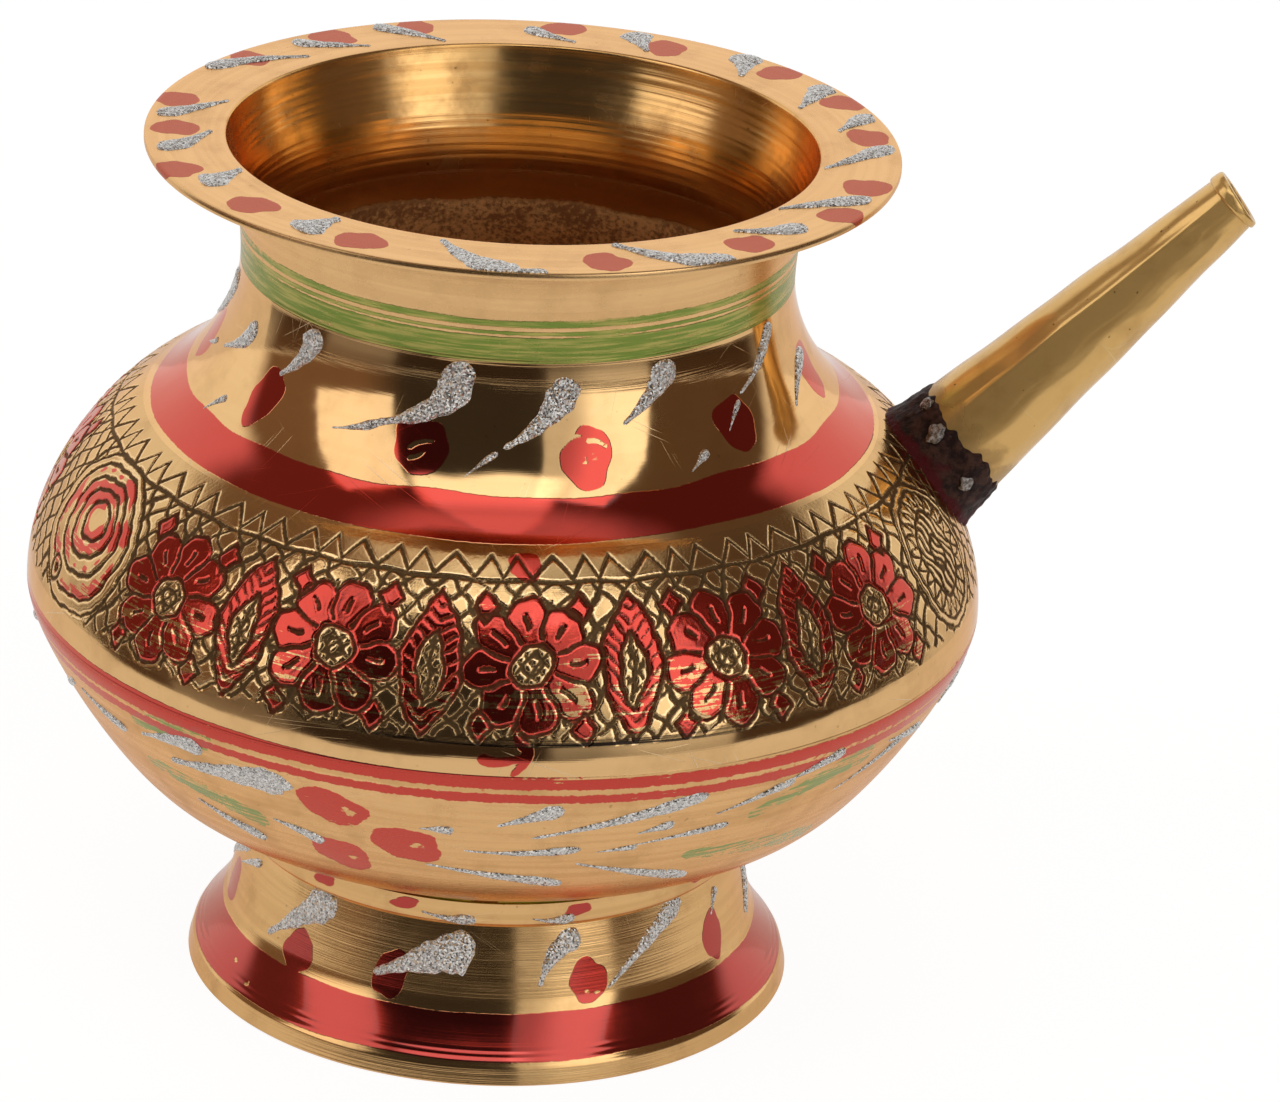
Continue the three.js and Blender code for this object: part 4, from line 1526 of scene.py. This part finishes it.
bore = bore + outward(bore, False) * bore_rings[:, None]
rim_outline = np.vstack([neck_outer, flange_under, flange_edge, flange_top, mouth_corner, bore])
rim_along = run_along(rim_outline)[:, None]
rim_radius_at = rim_outline[:, :1]
top_first = len(neck_outer) + len(flange_under) + len(flange_edge) - 1
top_last = top_first + len(flange_top)


def rim_run(radius):
    """Distance along the outline at a radius on the flange's top."""
    flat = slice(top_first, top_last + 1)
    return np.interp(-radius, -rim_outline[flat, 0], rim_along[flat, 0])


def neck_run(height):
    """Distance run up the neck's outer side at a height."""
    return np.interp(height, neck_outer[:, 1], run_along(neck_outer))


green_from, green_to = -1.1, neck_run(green_top)
green_middle = (green_from + green_to) / 2 + wobble(body_turns, 41, 0.12)
green_half = (green_to - green_from) / 2 + wobble(body_turns, 42, 0.10)
rim_green = np.abs(rim_along - green_middle) - green_half
for height, half_width in ((95.85, 0.26), (96.5, 0.07), (95.0, 0.10), (94.35, 0.05)):
    gap = np.abs(rim_along - neck_run(height) - wobble(body_turns, 43, 0.1))
    rim_green = np.maximum(rim_green, (half_width - gap) * 2.0)
rim_green[len(neck_outer) :] = no_paint
rim_dabs = [
    (-160.5, 42.6, 2.5), (-145, 42.3, 2.9), (-126.5, 42.3, 2.5), (-102, 42.9, 2.7),
    (-88, 41.3, 2.7), (-68.5, 43.3, 2.9), (-49, 40.8, 3.0), (-26, 41.1, 3.0),
    (14, 41.3, 2.8), (39.5, 41.5, 2.7), (60.5, 42.8, 2.6), (74.5, 42.0, 3.1),
    (99, 41.7, 2.8), (116, 43.0, 2.7), (133, 42.5, 2.6), (155, 40.3, 2.8),
    (174, 42.6, 2.6),
]
rim_dabs = [
    (turn, rim_run(radius), wide, 2.75, 10 * math.sin(turn)) for turn, radius, wide in rim_dabs
]
rim_red = np.full(rim_green.shape, no_paint)
rim_red = dabbed(rim_red, body_turns, rim_along, rim_radius_at, rim_dabs, 120)
rim_red[: top_first - 3] = no_paint
rim_red[top_last + 2 :] = no_paint
in_bore = np.arange(len(rim_outline)) > top_last + 1
bore_brass = painted_brass(
    "turned_bore_brass", metal=(0.86, 0.52, 0.20, 1), dark=(0.66, 0.34, 0.10, 1), gloss=0.17,
    ring_depth=0.026, ring_tone=0.50, fine=3.2, coarse=1.1, wave=0.22, scratch=0.2, stain=0.6,
    red_wear=0.1, green_wear=0.1,
)
neck_and_rim = piece(
    "neck_and_rim",
    swept(rim_outline, body_turns),
    [neck_brass, bore_brass],
    {"along": rim_along + 0 * body_turns, "red_edge": rim_red, "green_edge": rim_green},
    inside=in_bore,
    strips=3,
)
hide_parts("neck_rim")


# The spout. A cone of rolled sheet brass, hammered over a mandrel and polished bright, so
# that its sides are a little flat between soft creases. Its foot is cut to the shoulder.
spout_rise = 16.1
spout_elevation = math.radians(45.4)
spout_length = 48.0
spout_root_radius = 7.6
spout_tip_radius = 3.6
spout_wall = 0.7
tube_columns = 160
tube_rows = 110
bore_rows = 20
tube_sunk = 0.25
sheet_work = 0.75

spout_height = shoulder_base + spout_rise
spout_out = np.interp(spout_height, shoulder_curve[:, 1], shoulder_curve[:, 0])
spout_root = np.array((axis_x + spout_out, 0, spout_height))
spout_axis = np.array((math.cos(spout_elevation), 0, math.sin(spout_elevation)))
spout_upper = np.array((-math.sin(spout_elevation), 0, math.cos(spout_elevation)))
spout_front = np.array((0, -1, 0))


def cone_radius(along):
    """Radius of the spout's plain cone at a distance along its axis."""
    return spout_root_radius + (spout_tip_radius - spout_root_radius) * along / spout_length


def round_spout(along, radius, turns):
    """Points round the spout's axis at distances along it and out from it. Turns run from
    its upper side towards the front."""
    angle = np.radians(turns)
    ring = np.cos(angle)[..., None] * spout_upper + np.sin(angle)[..., None] * spout_front
    return spout_root + along[..., None] * spout_axis + radius[..., None] * ring


def meets_shoulder(turns, extra, sunk):
    """Distance along the spout's axis at which a cone, extra wider than the spout's, meets
    the shoulder's outer face at each turn, found by halving a range again and again."""
    low, high = np.full(turns.shape, -14.0), np.full(turns.shape, 14.0)
    for _ in range(30):
        middle = (low + high) / 2
        place = round_spout(middle, cone_radius(middle) + extra, turns)
        out = np.hypot(place[..., 0] - axis_x, place[..., 1])
        wall = np.interp(place[..., 2], shoulder_curve[:, 1], shoulder_curve[:, 0])
        clear = out > wall - sunk
        low, high = np.where(clear, low, middle), np.where(clear, middle, high)
    return (low + high) / 2


def worked_sheet(along, turns):
    """How far hand work moved the sheet: flats between creases, and slow dents."""
    angle = np.radians(turns)
    fade = np.clip((along - 3) / 8, 0, 1) * np.clip((spout_length - along) / 5, 0, 1)
    crease = 0.24 * np.exp(-((from_turn(turns, 44 + 0.2 * along) / 7) ** 2))
    flat = -0.22 * np.exp(-((from_turn(turns, 78) / 26) ** 2))
    ridge = 0.19 * np.exp(-((from_turn(turns, 121 - 0.25 * along) / 8) ** 2))
    dents = 0.06 * np.sin(along * 0.31 + 2 * angle) + 0.045 * np.sin(along * 0.62 - 3 * angle + 1)
    return fade * sheet_work * (crease + flat + ridge + dents)


tube_turns = np.linspace(0, 360, tube_columns, endpoint=False)[None, :]
tube_share = np.linspace(0, 1, tube_rows)[:, None]
tube_foot = meets_shoulder(tube_turns, 0.0, tube_sunk)
tube_along = tube_foot + (spout_length - tube_foot) * tube_share
tube_outer = round_spout(
    tube_along, cone_radius(tube_along) + worked_sheet(tube_along, tube_turns), tube_turns
)
bore_share = np.linspace(1, 0, bore_rows)[:, None]
bore_along = tube_foot + (spout_length - tube_foot) * bore_share
tube_inner = round_spout(bore_along, cone_radius(bore_along) - spout_wall, tube_turns)


def sheet_brass():
    """Bright rolled sheet: yellow, almost a mirror, with fine drawn lines, a brown bloom and
    small bruises, and scorched where it is soldered."""
    material, tree, shader = finish_of("bright_sheet_brass", Metallic=0.52)
    length_turn = (0, math.pi / 2 - spout_elevation, 0)
    drawn = noise(tree, here(tree, 1.0, (1800, 1800, 45), length_turn), 1.0, 2.0)
    soil = placed(tree, stains, amount=0.8)
    mark = placed(tree, scratches, along=laid(tree, "length"), amount=0.8)["Mask"]
    slow = placed(tree, waves)["Height"]
    colour = mixed(tree, soil["Cloud"], sheet_yellow, sheet_bloom)
    colour = mixed(tree, soil["Pits"], colour, sheet_bruise)
    colour = mixed(tree, sums(tree, "MULTIPLY", mark, 0.6), colour, sheet_scratch)
    scorch = weighed(tree, laid(tree, "burnt"), (noise(tree, here(tree), 0.5, 3.0), 1.6))
    scorch = slide(tree, scorch, 1.1, 1.7)
    colour = mixed(tree, sums(tree, "MULTIPLY", scorch, 0.5), colour, sheet_scorch)
    rough = weighed(tree, 0.15, (soil["Cloud"], 0.14), (scorch, 0.2))
    height = weighed(tree, 0.0, (drawn, 0.004), (slow, 0.25), (mark, -0.004))
    dress(tree, shader, colour, rough, height)
    return material


sheet_yellow = (0.84, 0.53, 0.18, 1)
sheet_bloom = (0.58, 0.34, 0.10, 1)
sheet_bruise = (0.16, 0.09, 0.03, 1)
sheet_scratch = (0.95, 0.78, 0.45, 1)
sheet_scorch = (0.26, 0.15, 0.05, 1)
scorch_end, scorch_fade = 5.5, 5
spout_brass = sheet_brass()
tube_length = np.concatenate([tube_along, bore_along])
tube_burnt = np.clip(1 - (tube_length - scorch_end) / scorch_fade, 0, 1)
spout = piece(
    "spout_cone",
    np.concatenate([tube_outer, tube_inner]),
    [spout_brass, spout_brass],
    {"burnt": tube_burnt + 0 * tube_turns, "length": tube_length + 0 * tube_turns},
    inside=np.arange(tube_rows + bore_rows) >= tube_rows,
)
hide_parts("spout_tube")


# The mouth ring. The end of the cone is turned over a thin wire into a small bead, and the
# mouth is cut slanting, so that it reaches furthest on its upper side.
lip_length = 1.9
lip_proud = 0.3
mouth_slant = math.radians(8)
lip_turns = np.linspace(0, 360, 120, endpoint=False)[None, :]
lip_back = math.sin(mouth_slant) * (spout_tip_radius + lip_proud)
lip_end = spout_length + lip_length - lip_back * (1 - np.cos(np.radians(lip_turns)))
lip_shape = np.array(
    [
        (0.00, -0.10), (0.02, 0.12), (0.10, 0.25), (0.25, 0.30), (0.60, 0.30), (0.85, 0.26),
        (0.97, 0.12), (1.00, -0.10), (0.99, -0.40), (0.93, -0.62), (0.80, -0.70), (0.40, -0.70),
        (0.00, -0.70),
    ]
)
lip_along = spout_length + (lip_end - spout_length) * lip_shape[:, :1]
lip_out = cone_radius(lip_along) + lip_shape[:, 1:] * (1 + 0 * lip_turns)
lip_burnt = np.ones((len(lip_shape), 1)) * (0.25 + 0 * lip_turns)
lip = piece(
    "spout_mouth_ring",
    round_spout(lip_along, lip_out, lip_turns),
    [spout_brass],
    {"burnt": lip_burnt, "length": lip_along},
)
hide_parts("spout_lip")


# The solder at the spout's root. Silver-grey where it pooled, but mostly burnt brown by flux:
# a thin ragged sleeve up the tube and a low fillet where it ran out over the shoulder.
def lumps(points, seed, size):
    """Soft random lumps in space: a sum of sines in random directions, between -1 and 1."""
    draw = np.random.default_rng(seed)
    total = 0
    for _ in range(9):
        way = draw.normal(size=3)
        way = way / np.linalg.norm(way) * draw.uniform(0.7, 1.6) * 2 * math.pi / size
        total = total + np.sin(points @ way + draw.uniform(0, 6.28))
    return total / 4.5


def burnt_solder():
    """Solder under a burnt skin of flux: brown, maroon towards the crease at its foot, with
    small gleams of grey where the metal shows."""
    material, tree, shader = finish_of(
        "burnt_solder_skin", Metallic=0.1, Specular_IOR_Level=0.12
    )
    blotch = noise(tree, here(tree), 0.7, 4.0, 0.65)
    fine = noise(tree, here(tree), 3.0, 4.0, 0.7)
    colour = mixed(tree, slide(tree, blotch, 0.4, 0.62), flux_black, flux_brown)
    maroon = weighed(tree, laid(tree, "crease"), (noise(tree, here(tree), 0.33, 2.0), 0.9))
    colour = mixed(tree, slide(tree, maroon, 0.52, 0.8), colour, flux_maroon)
    gleam = slide(tree, fine, 0.66, 0.74)
    colour = mixed(tree, sums(tree, "MULTIPLY", gleam, 0.45), colour, solder_gleam)
    rough = weighed(tree, 0.3, (fine, 0.4))
    height = weighed(tree, 0.0, (blotch, 0.35), (fine, 0.16))
    dress(tree, shader, colour, rough, height)
    return material


flux_black = (0.022, 0.010, 0.008, 1)
flux_brown = (0.075, 0.034, 0.024, 1)
flux_maroon = (0.085, 0.008, 0.010, 1)
solder_gleam = (0.34, 0.29, 0.27, 1)
solder_reach = 5.9
solder_turns = np.linspace(0, 360, 220, endpoint=False)[None, :]
solder_rows = 34
solder_spread = 0.75
solder_edge = 0.26
solder_inset = 0.2
solder_sunk = 0.5
solder_top = solder_reach - 1.6 * np.sin(np.radians(solder_turns / 2)) ** 4
solder_top = solder_top + wobble(solder_turns, 61, 0.9, (3, 5, 9, 14, 22, 31))
solder_share = np.linspace(0, 1, solder_rows)[:, None]
solder_foot = meets_shoulder(solder_turns, solder_spread, tube_sunk)
solder_line = solder_foot + (solder_top - solder_foot) * solder_share
solder_thick = solder_edge + (solder_spread - solder_edge) * (1 - solder_share) ** 3.2
solder_cone = cone_radius(solder_line)
solder_shape = round_spout(solder_line, solder_cone + solder_thick, solder_turns)
solder_lumps = lumps(solder_shape, 3, 3.4) * 0.16 + lumps(solder_shape, 4, 1.3) * 0.07
solder_ends = np.clip((1 - solder_share) / 0.08, 0, 1)
solder_outer = round_spout(
    solder_line,
    solder_cone + (solder_thick + solder_lumps) * solder_ends + 0.02,
    solder_turns,
)
solder_back = np.linspace(1, 0, 6)[:, None]
inner_foot = meets_shoulder(solder_turns, -solder_inset, solder_sunk)
inner_line = inner_foot + (solder_top - inner_foot) * solder_back
solder_inner = round_spout(inner_line, cone_radius(inner_line) - solder_inset, solder_turns)
solder_crease = np.concatenate([np.exp(-solder_share / 0.13), 0 * solder_back])
solder = piece(
    "spout_root_solder",
    np.concatenate([solder_outer, solder_inner]),
    [burnt_solder()],
    {"crease": solder_crease + 0 * solder_turns},
)
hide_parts("spout_solder")


# The solder lumps. Three blobs of soft solder that ran down the burnt sleeve and set there,
# pale and bright, half sunk in it.
def bright_solder():
    """Clean soft solder: pale grey metal with a crinkled skin."""
    material, tree, shader = finish_of("bright_solder_skin", Metallic=1.0)
    skin = noise(tree, here(tree), 2.2, 4.0, 0.7)
    colour = mixed(tree, slide(tree, skin, 0.42, 0.6), lump_grey, lump_silver)
    rough = weighed(tree, 0.15, (skin, 0.3))
    dress(tree, shader, colour, rough, sums(tree, "MULTIPLY", skin, 0.25))
    return material


lump_grey = (0.20, 0.17, 0.15, 1)
lump_silver = (0.52, 0.50, 0.48, 1)
lump_proud = 0.45
lump_thick = 0.55
lump_skin = bright_solder()
pole = np.linspace(0, math.pi, 22)[:, None]
ring_turn = np.linspace(0, 2 * math.pi, 36, endpoint=False)[None, :]
girdle = np.sin(pole)
ball = np.stack(
    [girdle * np.cos(ring_turn), girdle * np.sin(ring_turn), 0 * ring_turn - np.cos(pole)], -1
)
for lump_name, lump_turn, lump_along, lump_size in (
    ("upper", 20, 4.9, (0.95, 0.75)),
    ("middle", 51, 3.9, (1.35, 1.0)),
    ("lower", 105, 2.4, (1.0, 0.85)),
):
    lump_node = f"solder_bead_{lump_name}"
    lump_out = np.array(cone_radius(lump_along) + lump_proud)
    lump_middle = round_spout(np.array(lump_along), lump_out, np.array(lump_turn))
    outwards = lump_middle - spout_root - spout_axis * lump_along
    outwards = outwards / np.linalg.norm(outwards)
    sideways = np.cross(spout_axis, outwards)
    shape = (
        ball[..., :1] * sideways * lump_size[1]
        + ball[..., 1:2] * spout_axis * lump_size[0] * -1
        + ball[..., 2:] * outwards * lump_thick
    )
    shape = shape * (1 + 0.22 * lumps(ball * 3, lump_turn, 4.0)[..., None])
    blob = piece(f"solder_lump_{lump_name}", lump_middle + shape, [lump_skin], row_loop=False)
    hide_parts(lump_node)


# The glitter strokes. Glue laid on with a pointed brush and dusted with silver glitter: each
# is thick at its head, thins to a tail, and stands a third of a millimetre proud.
def glitter_nodes(tree, given):
    """Flakes at random tilts: each cell of a fine Voronoi pattern gives the surface its own
    direction and its own brightness."""
    flakes = node(tree, "TexVoronoi", {"Vector": here(tree), "Scale": 5.2}).outputs["Color"]
    centred = node(tree, "VectorMath", {0: flakes, 1: (0.5, 0.5, 0.5)}, operation="SUBTRACT")
    inputs = {0: centred.outputs[0], "Scale": given["Tilt"]}
    tilted = node(tree, "VectorMath", inputs, operation="SCALE")
    plain = node(tree, "NewGeometry").outputs["Normal"]
    joined = node(tree, "VectorMath", {0: plain, 1: tilted.outputs[0]}, operation="ADD")
    facing = node(tree, "VectorMath", {0: joined.outputs[0]}, operation="NORMALIZE").outputs[0]
    tone = node(tree, "SeparateXYZ", {0: flakes}).outputs["X"]
    return {"Normal": facing, "Tone": tone}


glitter = group(
    "glitter_flakes", {"Tilt": 1.0}, {"Normal": "NodeSocketVector", "Tone": number}, glitter_nodes
)


def glitter_paint():
    """Silver flakes in grey glue, each with a grey and a gloss of its own."""
    material, tree, shader = finish_of("silver_glitter_glue", Metallic=0.9)
    flakes = placed(tree, glitter, tilt=1.1)
    colour = mixed(tree, flakes["Tone"], flake_grey, flake_white)
    rough = weighed(tree, 0.18, (flakes["Tone"], 0.25))
    tree.links.new(colour, shader.inputs["Base Color"])
    tree.links.new(rough, shader.inputs["Roughness"])
    tree.links.new(flakes["Normal"], shader.inputs["Normal"])
    return material


def glitter_stroke(outline, path, widest, seed, thick=0.34):
    """A grid of points for one stroke on a swept outline. A closed arch is carried along the
    path of (turn, along) points; its width falls from the head to the tail, unevenly, and
    its top is rough."""
    draw = np.random.default_rng(seed)
    run = run_along(outline)
    normals = outward(outline, False)
    points = rounded_path(path, 200)
    middle = points[:, 0].mean()
    radius = np.interp(points[:, 1], run, outline[:, 0])
    flat = np.stack([np.radians(points[:, 0] - middle) * radius, points[:, 1]], 1)
    length = run_along(flat)
    steps = max(int(length[-1] / 0.28), 12)
    at = np.linspace(0, length[-1], steps)
    flat = np.stack([np.interp(at, length, flat[:, k]) for k in (0, 1)], 1)
    share = at / length[-1]
    way = np.gradient(flat, axis=0)
    way /= np.linalg.norm(way, axis=1, keepdims=True)
    across = np.stack([way[:, 1], -way[:, 0]], 1)
    rounded = np.sqrt(np.clip(1 - (1 - np.clip(share / 0.14, 0, 1)) ** 2, 0, 1))
    head = rounded * (1 - 0.78 * np.clip((share - 0.24) / 0.6, 0, 1) ** 0.9)
    tail = np.sqrt(np.clip((1 - share) / 0.04, 0, 1))
    uneven = 1 + 0.07 * np.sin(at * 1.3 + draw.uniform(0, 6))
    uneven = uneven + 0.05 * np.sin(at * 3.1 + draw.uniform(0, 6))
    half = np.maximum(widest * head * tail * uneven, 0)
    half[0] = half[-1] = 0
    arch = np.linspace(-1, 1, 13)
    base = np.linspace(0.6, -0.6, 3)
    cross = np.r_[arch, base]
    offset = flat[:, None, :] + across[:, None, :] * (half[:, None] * cross)[..., None]
    dome = np.sqrt(np.clip(1 - arch**2, 0, 1))
    high = np.r_[dome, -0.12 + 0 * base][None, :] * thick
    high = high * np.clip(half / 0.7, 0, 1)[:, None] ** 0.7
    rough_top = draw.uniform(-0.04, 0.04, high.shape) * np.r_[dome, 0 * base]
    high = high + rough_top * np.clip(half / 0.5, 0, 1)[:, None] - 0.03
    along = offset[..., 1]
    radius = np.interp(along, run, outline[:, 0])
    height = np.interp(along, run, outline[:, 1])
    lean_out = np.interp(along, run, normals[:, 0])
    lean_up = np.interp(along, run, normals[:, 1])
    mean_radius = np.interp(flat[:, 1], run, outline[:, 0])[:, None]
    angle = offset[..., 0] / mean_radius + math.radians(middle) + front_angle
    radius = radius + lean_out * high
    return np.stack(
        [axis_x + radius * np.cos(angle), radius * np.sin(angle), height + lean_up * high], -1
    )


flake_grey = (0.40, 0.39, 0.37, 1)
flake_white = (0.96, 0.95, 0.92, 1)
glitter_skin = glitter_paint()


def glitter_piece(name, outline, run_at, strokes):
    """All the strokes of one zone as one piece. A stroke is its half width and its path of
    (turn, level) places; run_at makes a level a distance along the outline."""
    grids = [
        glitter_stroke(outline, along_outline(run_at, path), widest, 200 + order)
        for order, (widest, path) in enumerate(strokes)
    ]
    made = piece(name, grids, [glitter_skin], row_loop=False, sharp=80)


def round_on(strokes, turns_on, seed):
    """Copies of strokes turned further round the pot, each a little different."""
    draw = np.random.default_rng(seed)
    copies = []
    for turn_on in turns_on:
        for widest, path in strokes:
            shift = turn_on + draw.uniform(-1.5, 1.5)
            width = widest * draw.uniform(0.85, 1.15)
            path = [(turn + shift, level + draw.uniform(-0.4, 0.4)) for turn, level in path]
            copies.append((width, path))
    return copies


def below_seam(height):
    """Distance up the shoulder at a height, kept a little under the neck seam."""
    return shoulder_at(min(height, stroke_top))


def bowl_curve_run(height):
    """Distance run from the collar up the bowl's outer side at a height."""
    return np.interp(height, bowl_curve[:, 1], run_along(bowl_curve))


def rim_face_run(radius):
    """Distance run in from the flange's edge over its top, at a radius."""
    return rim_radius - rim_bevel - radius


stroke_top = 91.3
shoulder_front_strokes = [
    (1.3, [(-66, 87.9), (-66.5, 85.6), (-75, 82.8)]),
    (1.6, [(-45.2, 91.0), (-45.6, 88.0), (-51.5, 84.3)]),
    (2.15, [(-11.6, 91.5), (-13.2, 86.6), (-26, 83.0)]),
    (0.6, [(-25.0, 83.2), (-29, 82.2), (-34.8, 81.3)]),
    (1.85, [(11.8, 89.9), (6.5, 85.3), (-1.2, 82.1)]),
    (0.4, [(-2.0, 81.7), (-4.8, 80.5), (-7.8, 79.0)]),
    (1.6, [(32.7, 91.0), (29.2, 87.8), (21.8, 84.3)]),
    (1.0, [(63.8, 91.2), (58.5, 87.5), (50.0, 84.8)]),
    (0.4, [(49.5, 84.3), (47.2, 83.0), (44.5, 81.4)]),
    (0.6, [(38.4, 80.3), (36.2, 79.5), (33.6, 78.6)]),
    (1.0, [(79.0, 84.9), (71.5, 82.9), (66.0, 80.6)]),
    (0.55, [(-62.6, 79.4), (-65, 78.3), (-66.8, 77.1)]),
    (0.5, [(-80, 82.4), (-82, 81.6), (-85, 81.0)]),
]
shoulder_back_strokes = round_on([shoulder_front_strokes[4]], (108, 141, 174, 207, 240, 262), 2)
shoulder_strokes = shoulder_front_strokes + shoulder_back_strokes
glitter_piece("shoulder_glitter", shoulder_curve, below_seam, shoulder_strokes)

foot_front_strokes = [
    (2.1, [(-37.5, 17.6), (-45, 14.6), (-56, 9.7)]),
    (2.65, [(-2.6, 14.4), (-10.5, 13.9), (-25, 10.5)]),
    (1.55, [(21.5, 16.4), (15.5, 14.6), (11.8, 10.6)]),
    (1.3, [(50.0, 17.6), (39.8, 14.6), (27.2, 9.6)]),
    (0.6, [(64.5, 16.4), (62.5, 15.1), (60.2, 13.4)]),
    (0.75, [(-2.5, 19.2), (-8.5, 19.1), (-15, 19.6)]),
    (0.7, [(19.5, 19.4), (14.5, 19.1), (9.5, 19.5)]),
    (0.6, [(-66, 16.2), (-72, 15.0), (-79, 13.3)]),
]
foot_back_strokes = round_on(foot_front_strokes[:4], (134, 236), 5)
glitter_piece("foot_glitter", foot_outer, foot_run, foot_front_strokes + foot_back_strokes)

bowl_front_strokes = [
    (2.2, [(-25.2, 44.2), (-29.5, 44.6), (-44, 42.4)]),
    (1.3, [(-36.8, 46.3), (-41.5, 46.2), (-48.2, 44.5)]),
    (1.0, [(-22.6, 36.0), (-25.2, 37.2), (-29.5, 38.2)]),
    (1.1, [(-32.5, 33.6), (-36, 34.4), (-43, 36.6)]),
    (0.9, [(-52, 43.4), (-56, 44.0), (-62, 45.2)]),
    (0.75, [(-4.6, 41.7), (-6.8, 41.8), (-9.0, 41.6)]),
    (1.2, [(8.4, 45.9), (5.5, 44.9), (0.5, 43.0)]),
    (1.15, [(26, 46.4), (19, 44.6), (4.8, 41.0)]),
    (0.75, [(22.8, 42.2), (20.6, 41.7), (18.0, 41.0)]),
    (0.6, [(31, 40.4), (25.0, 39.9), (18.0, 39.0)]),
    (0.75, [(11.4, 39.0), (3.5, 38.3), (-3.6, 38.4)]),
    (0.5, [(18.8, 38.7), (16.2, 38.5), (13.4, 38.2)]),
    (1.0, [(10.2, 32.3), (1.2, 33.8), (-8.8, 35.2)]),
    (1.0, [(29.4, 31.2), (20.5, 33.6), (11.0, 36.3)]),
    (0.8, [(45.5, 47.9), (41.5, 46.9), (36.0, 45.4)]),
    (0.7, [(38.5, 45.6), (34, 44.4), (28.0, 42.6)]),
    (0.6, [(60, 44.8), (54, 42.6), (48, 40.6)]),
]
bowl_strokes = bowl_front_strokes + round_on(bowl_front_strokes, further_round, 9)
glitter_piece("bowl_glitter", bowl_curve, bowl_curve_run, bowl_strokes)

rim_strokes = [
    (1.4, [(-118, 44.0), (-124, 42.4), (-135.5, 37.8)]),
    (1.2, [(-138.5, 43.6), (-141, 40.7), (-149, 37.4)]),
    (1.4, [(-154, 44.2), (-157, 41.8), (-164, 36.6)]),
    (1.5, [(-95, 44.1), (-97, 41.0), (-104.5, 36.6)]),
    (1.8, [(-79.6, 43.8), (-80.4, 40.6), (-87, 37.0)]),
    (2.2, [(-62, 42.2), (-62.6, 39.4), (-65.6, 35.8)]),
    (2.6, [(-36.5, 42.6), (-35.6, 39.8), (-34.5, 36.4)]),
    (2.5, [(0.5, 44.5), (-6.0, 42.3), (-14.0, 36.3)]),
    (0.8, [(4.5, 44.4), (0.5, 44.2), (-3.5, 43.2)]),
    (2.2, [(33.4, 43.6), (27.0, 42.6), (17.0, 35.6)]),
    (1.7, [(52.4, 41.4), (47.0, 40.0), (41.2, 37.0)]),
    (1.6, [(69, 43.8), (66.0, 40.6), (56.0, 35.5)]),
    (1.6, [(94, 44.4), (91.0, 41.2), (81.5, 35.8)]),
    (1.6, [(108.5, 44.5), (107.3, 42.2), (102.5, 38.6)]),
    (1.8, [(123.5, 44.4), (121.6, 41.6), (115.8, 36.8)]),
    (2.1, [(142.2, 44.4), (140.3, 42.0), (136.0, 37.8)]),
    (2.0, [(162.4, 43.8), (160.6, 41.4), (157.2, 38.0)]),
    (1.3, [(180.0, 42.0), (177.0, 39.6), (170.8, 37.6)]),
]
rim_face = rim_outline[top_first : top_last + 1]
glitter_piece("rim_glitter", rim_face, rim_face_run, rim_strokes)
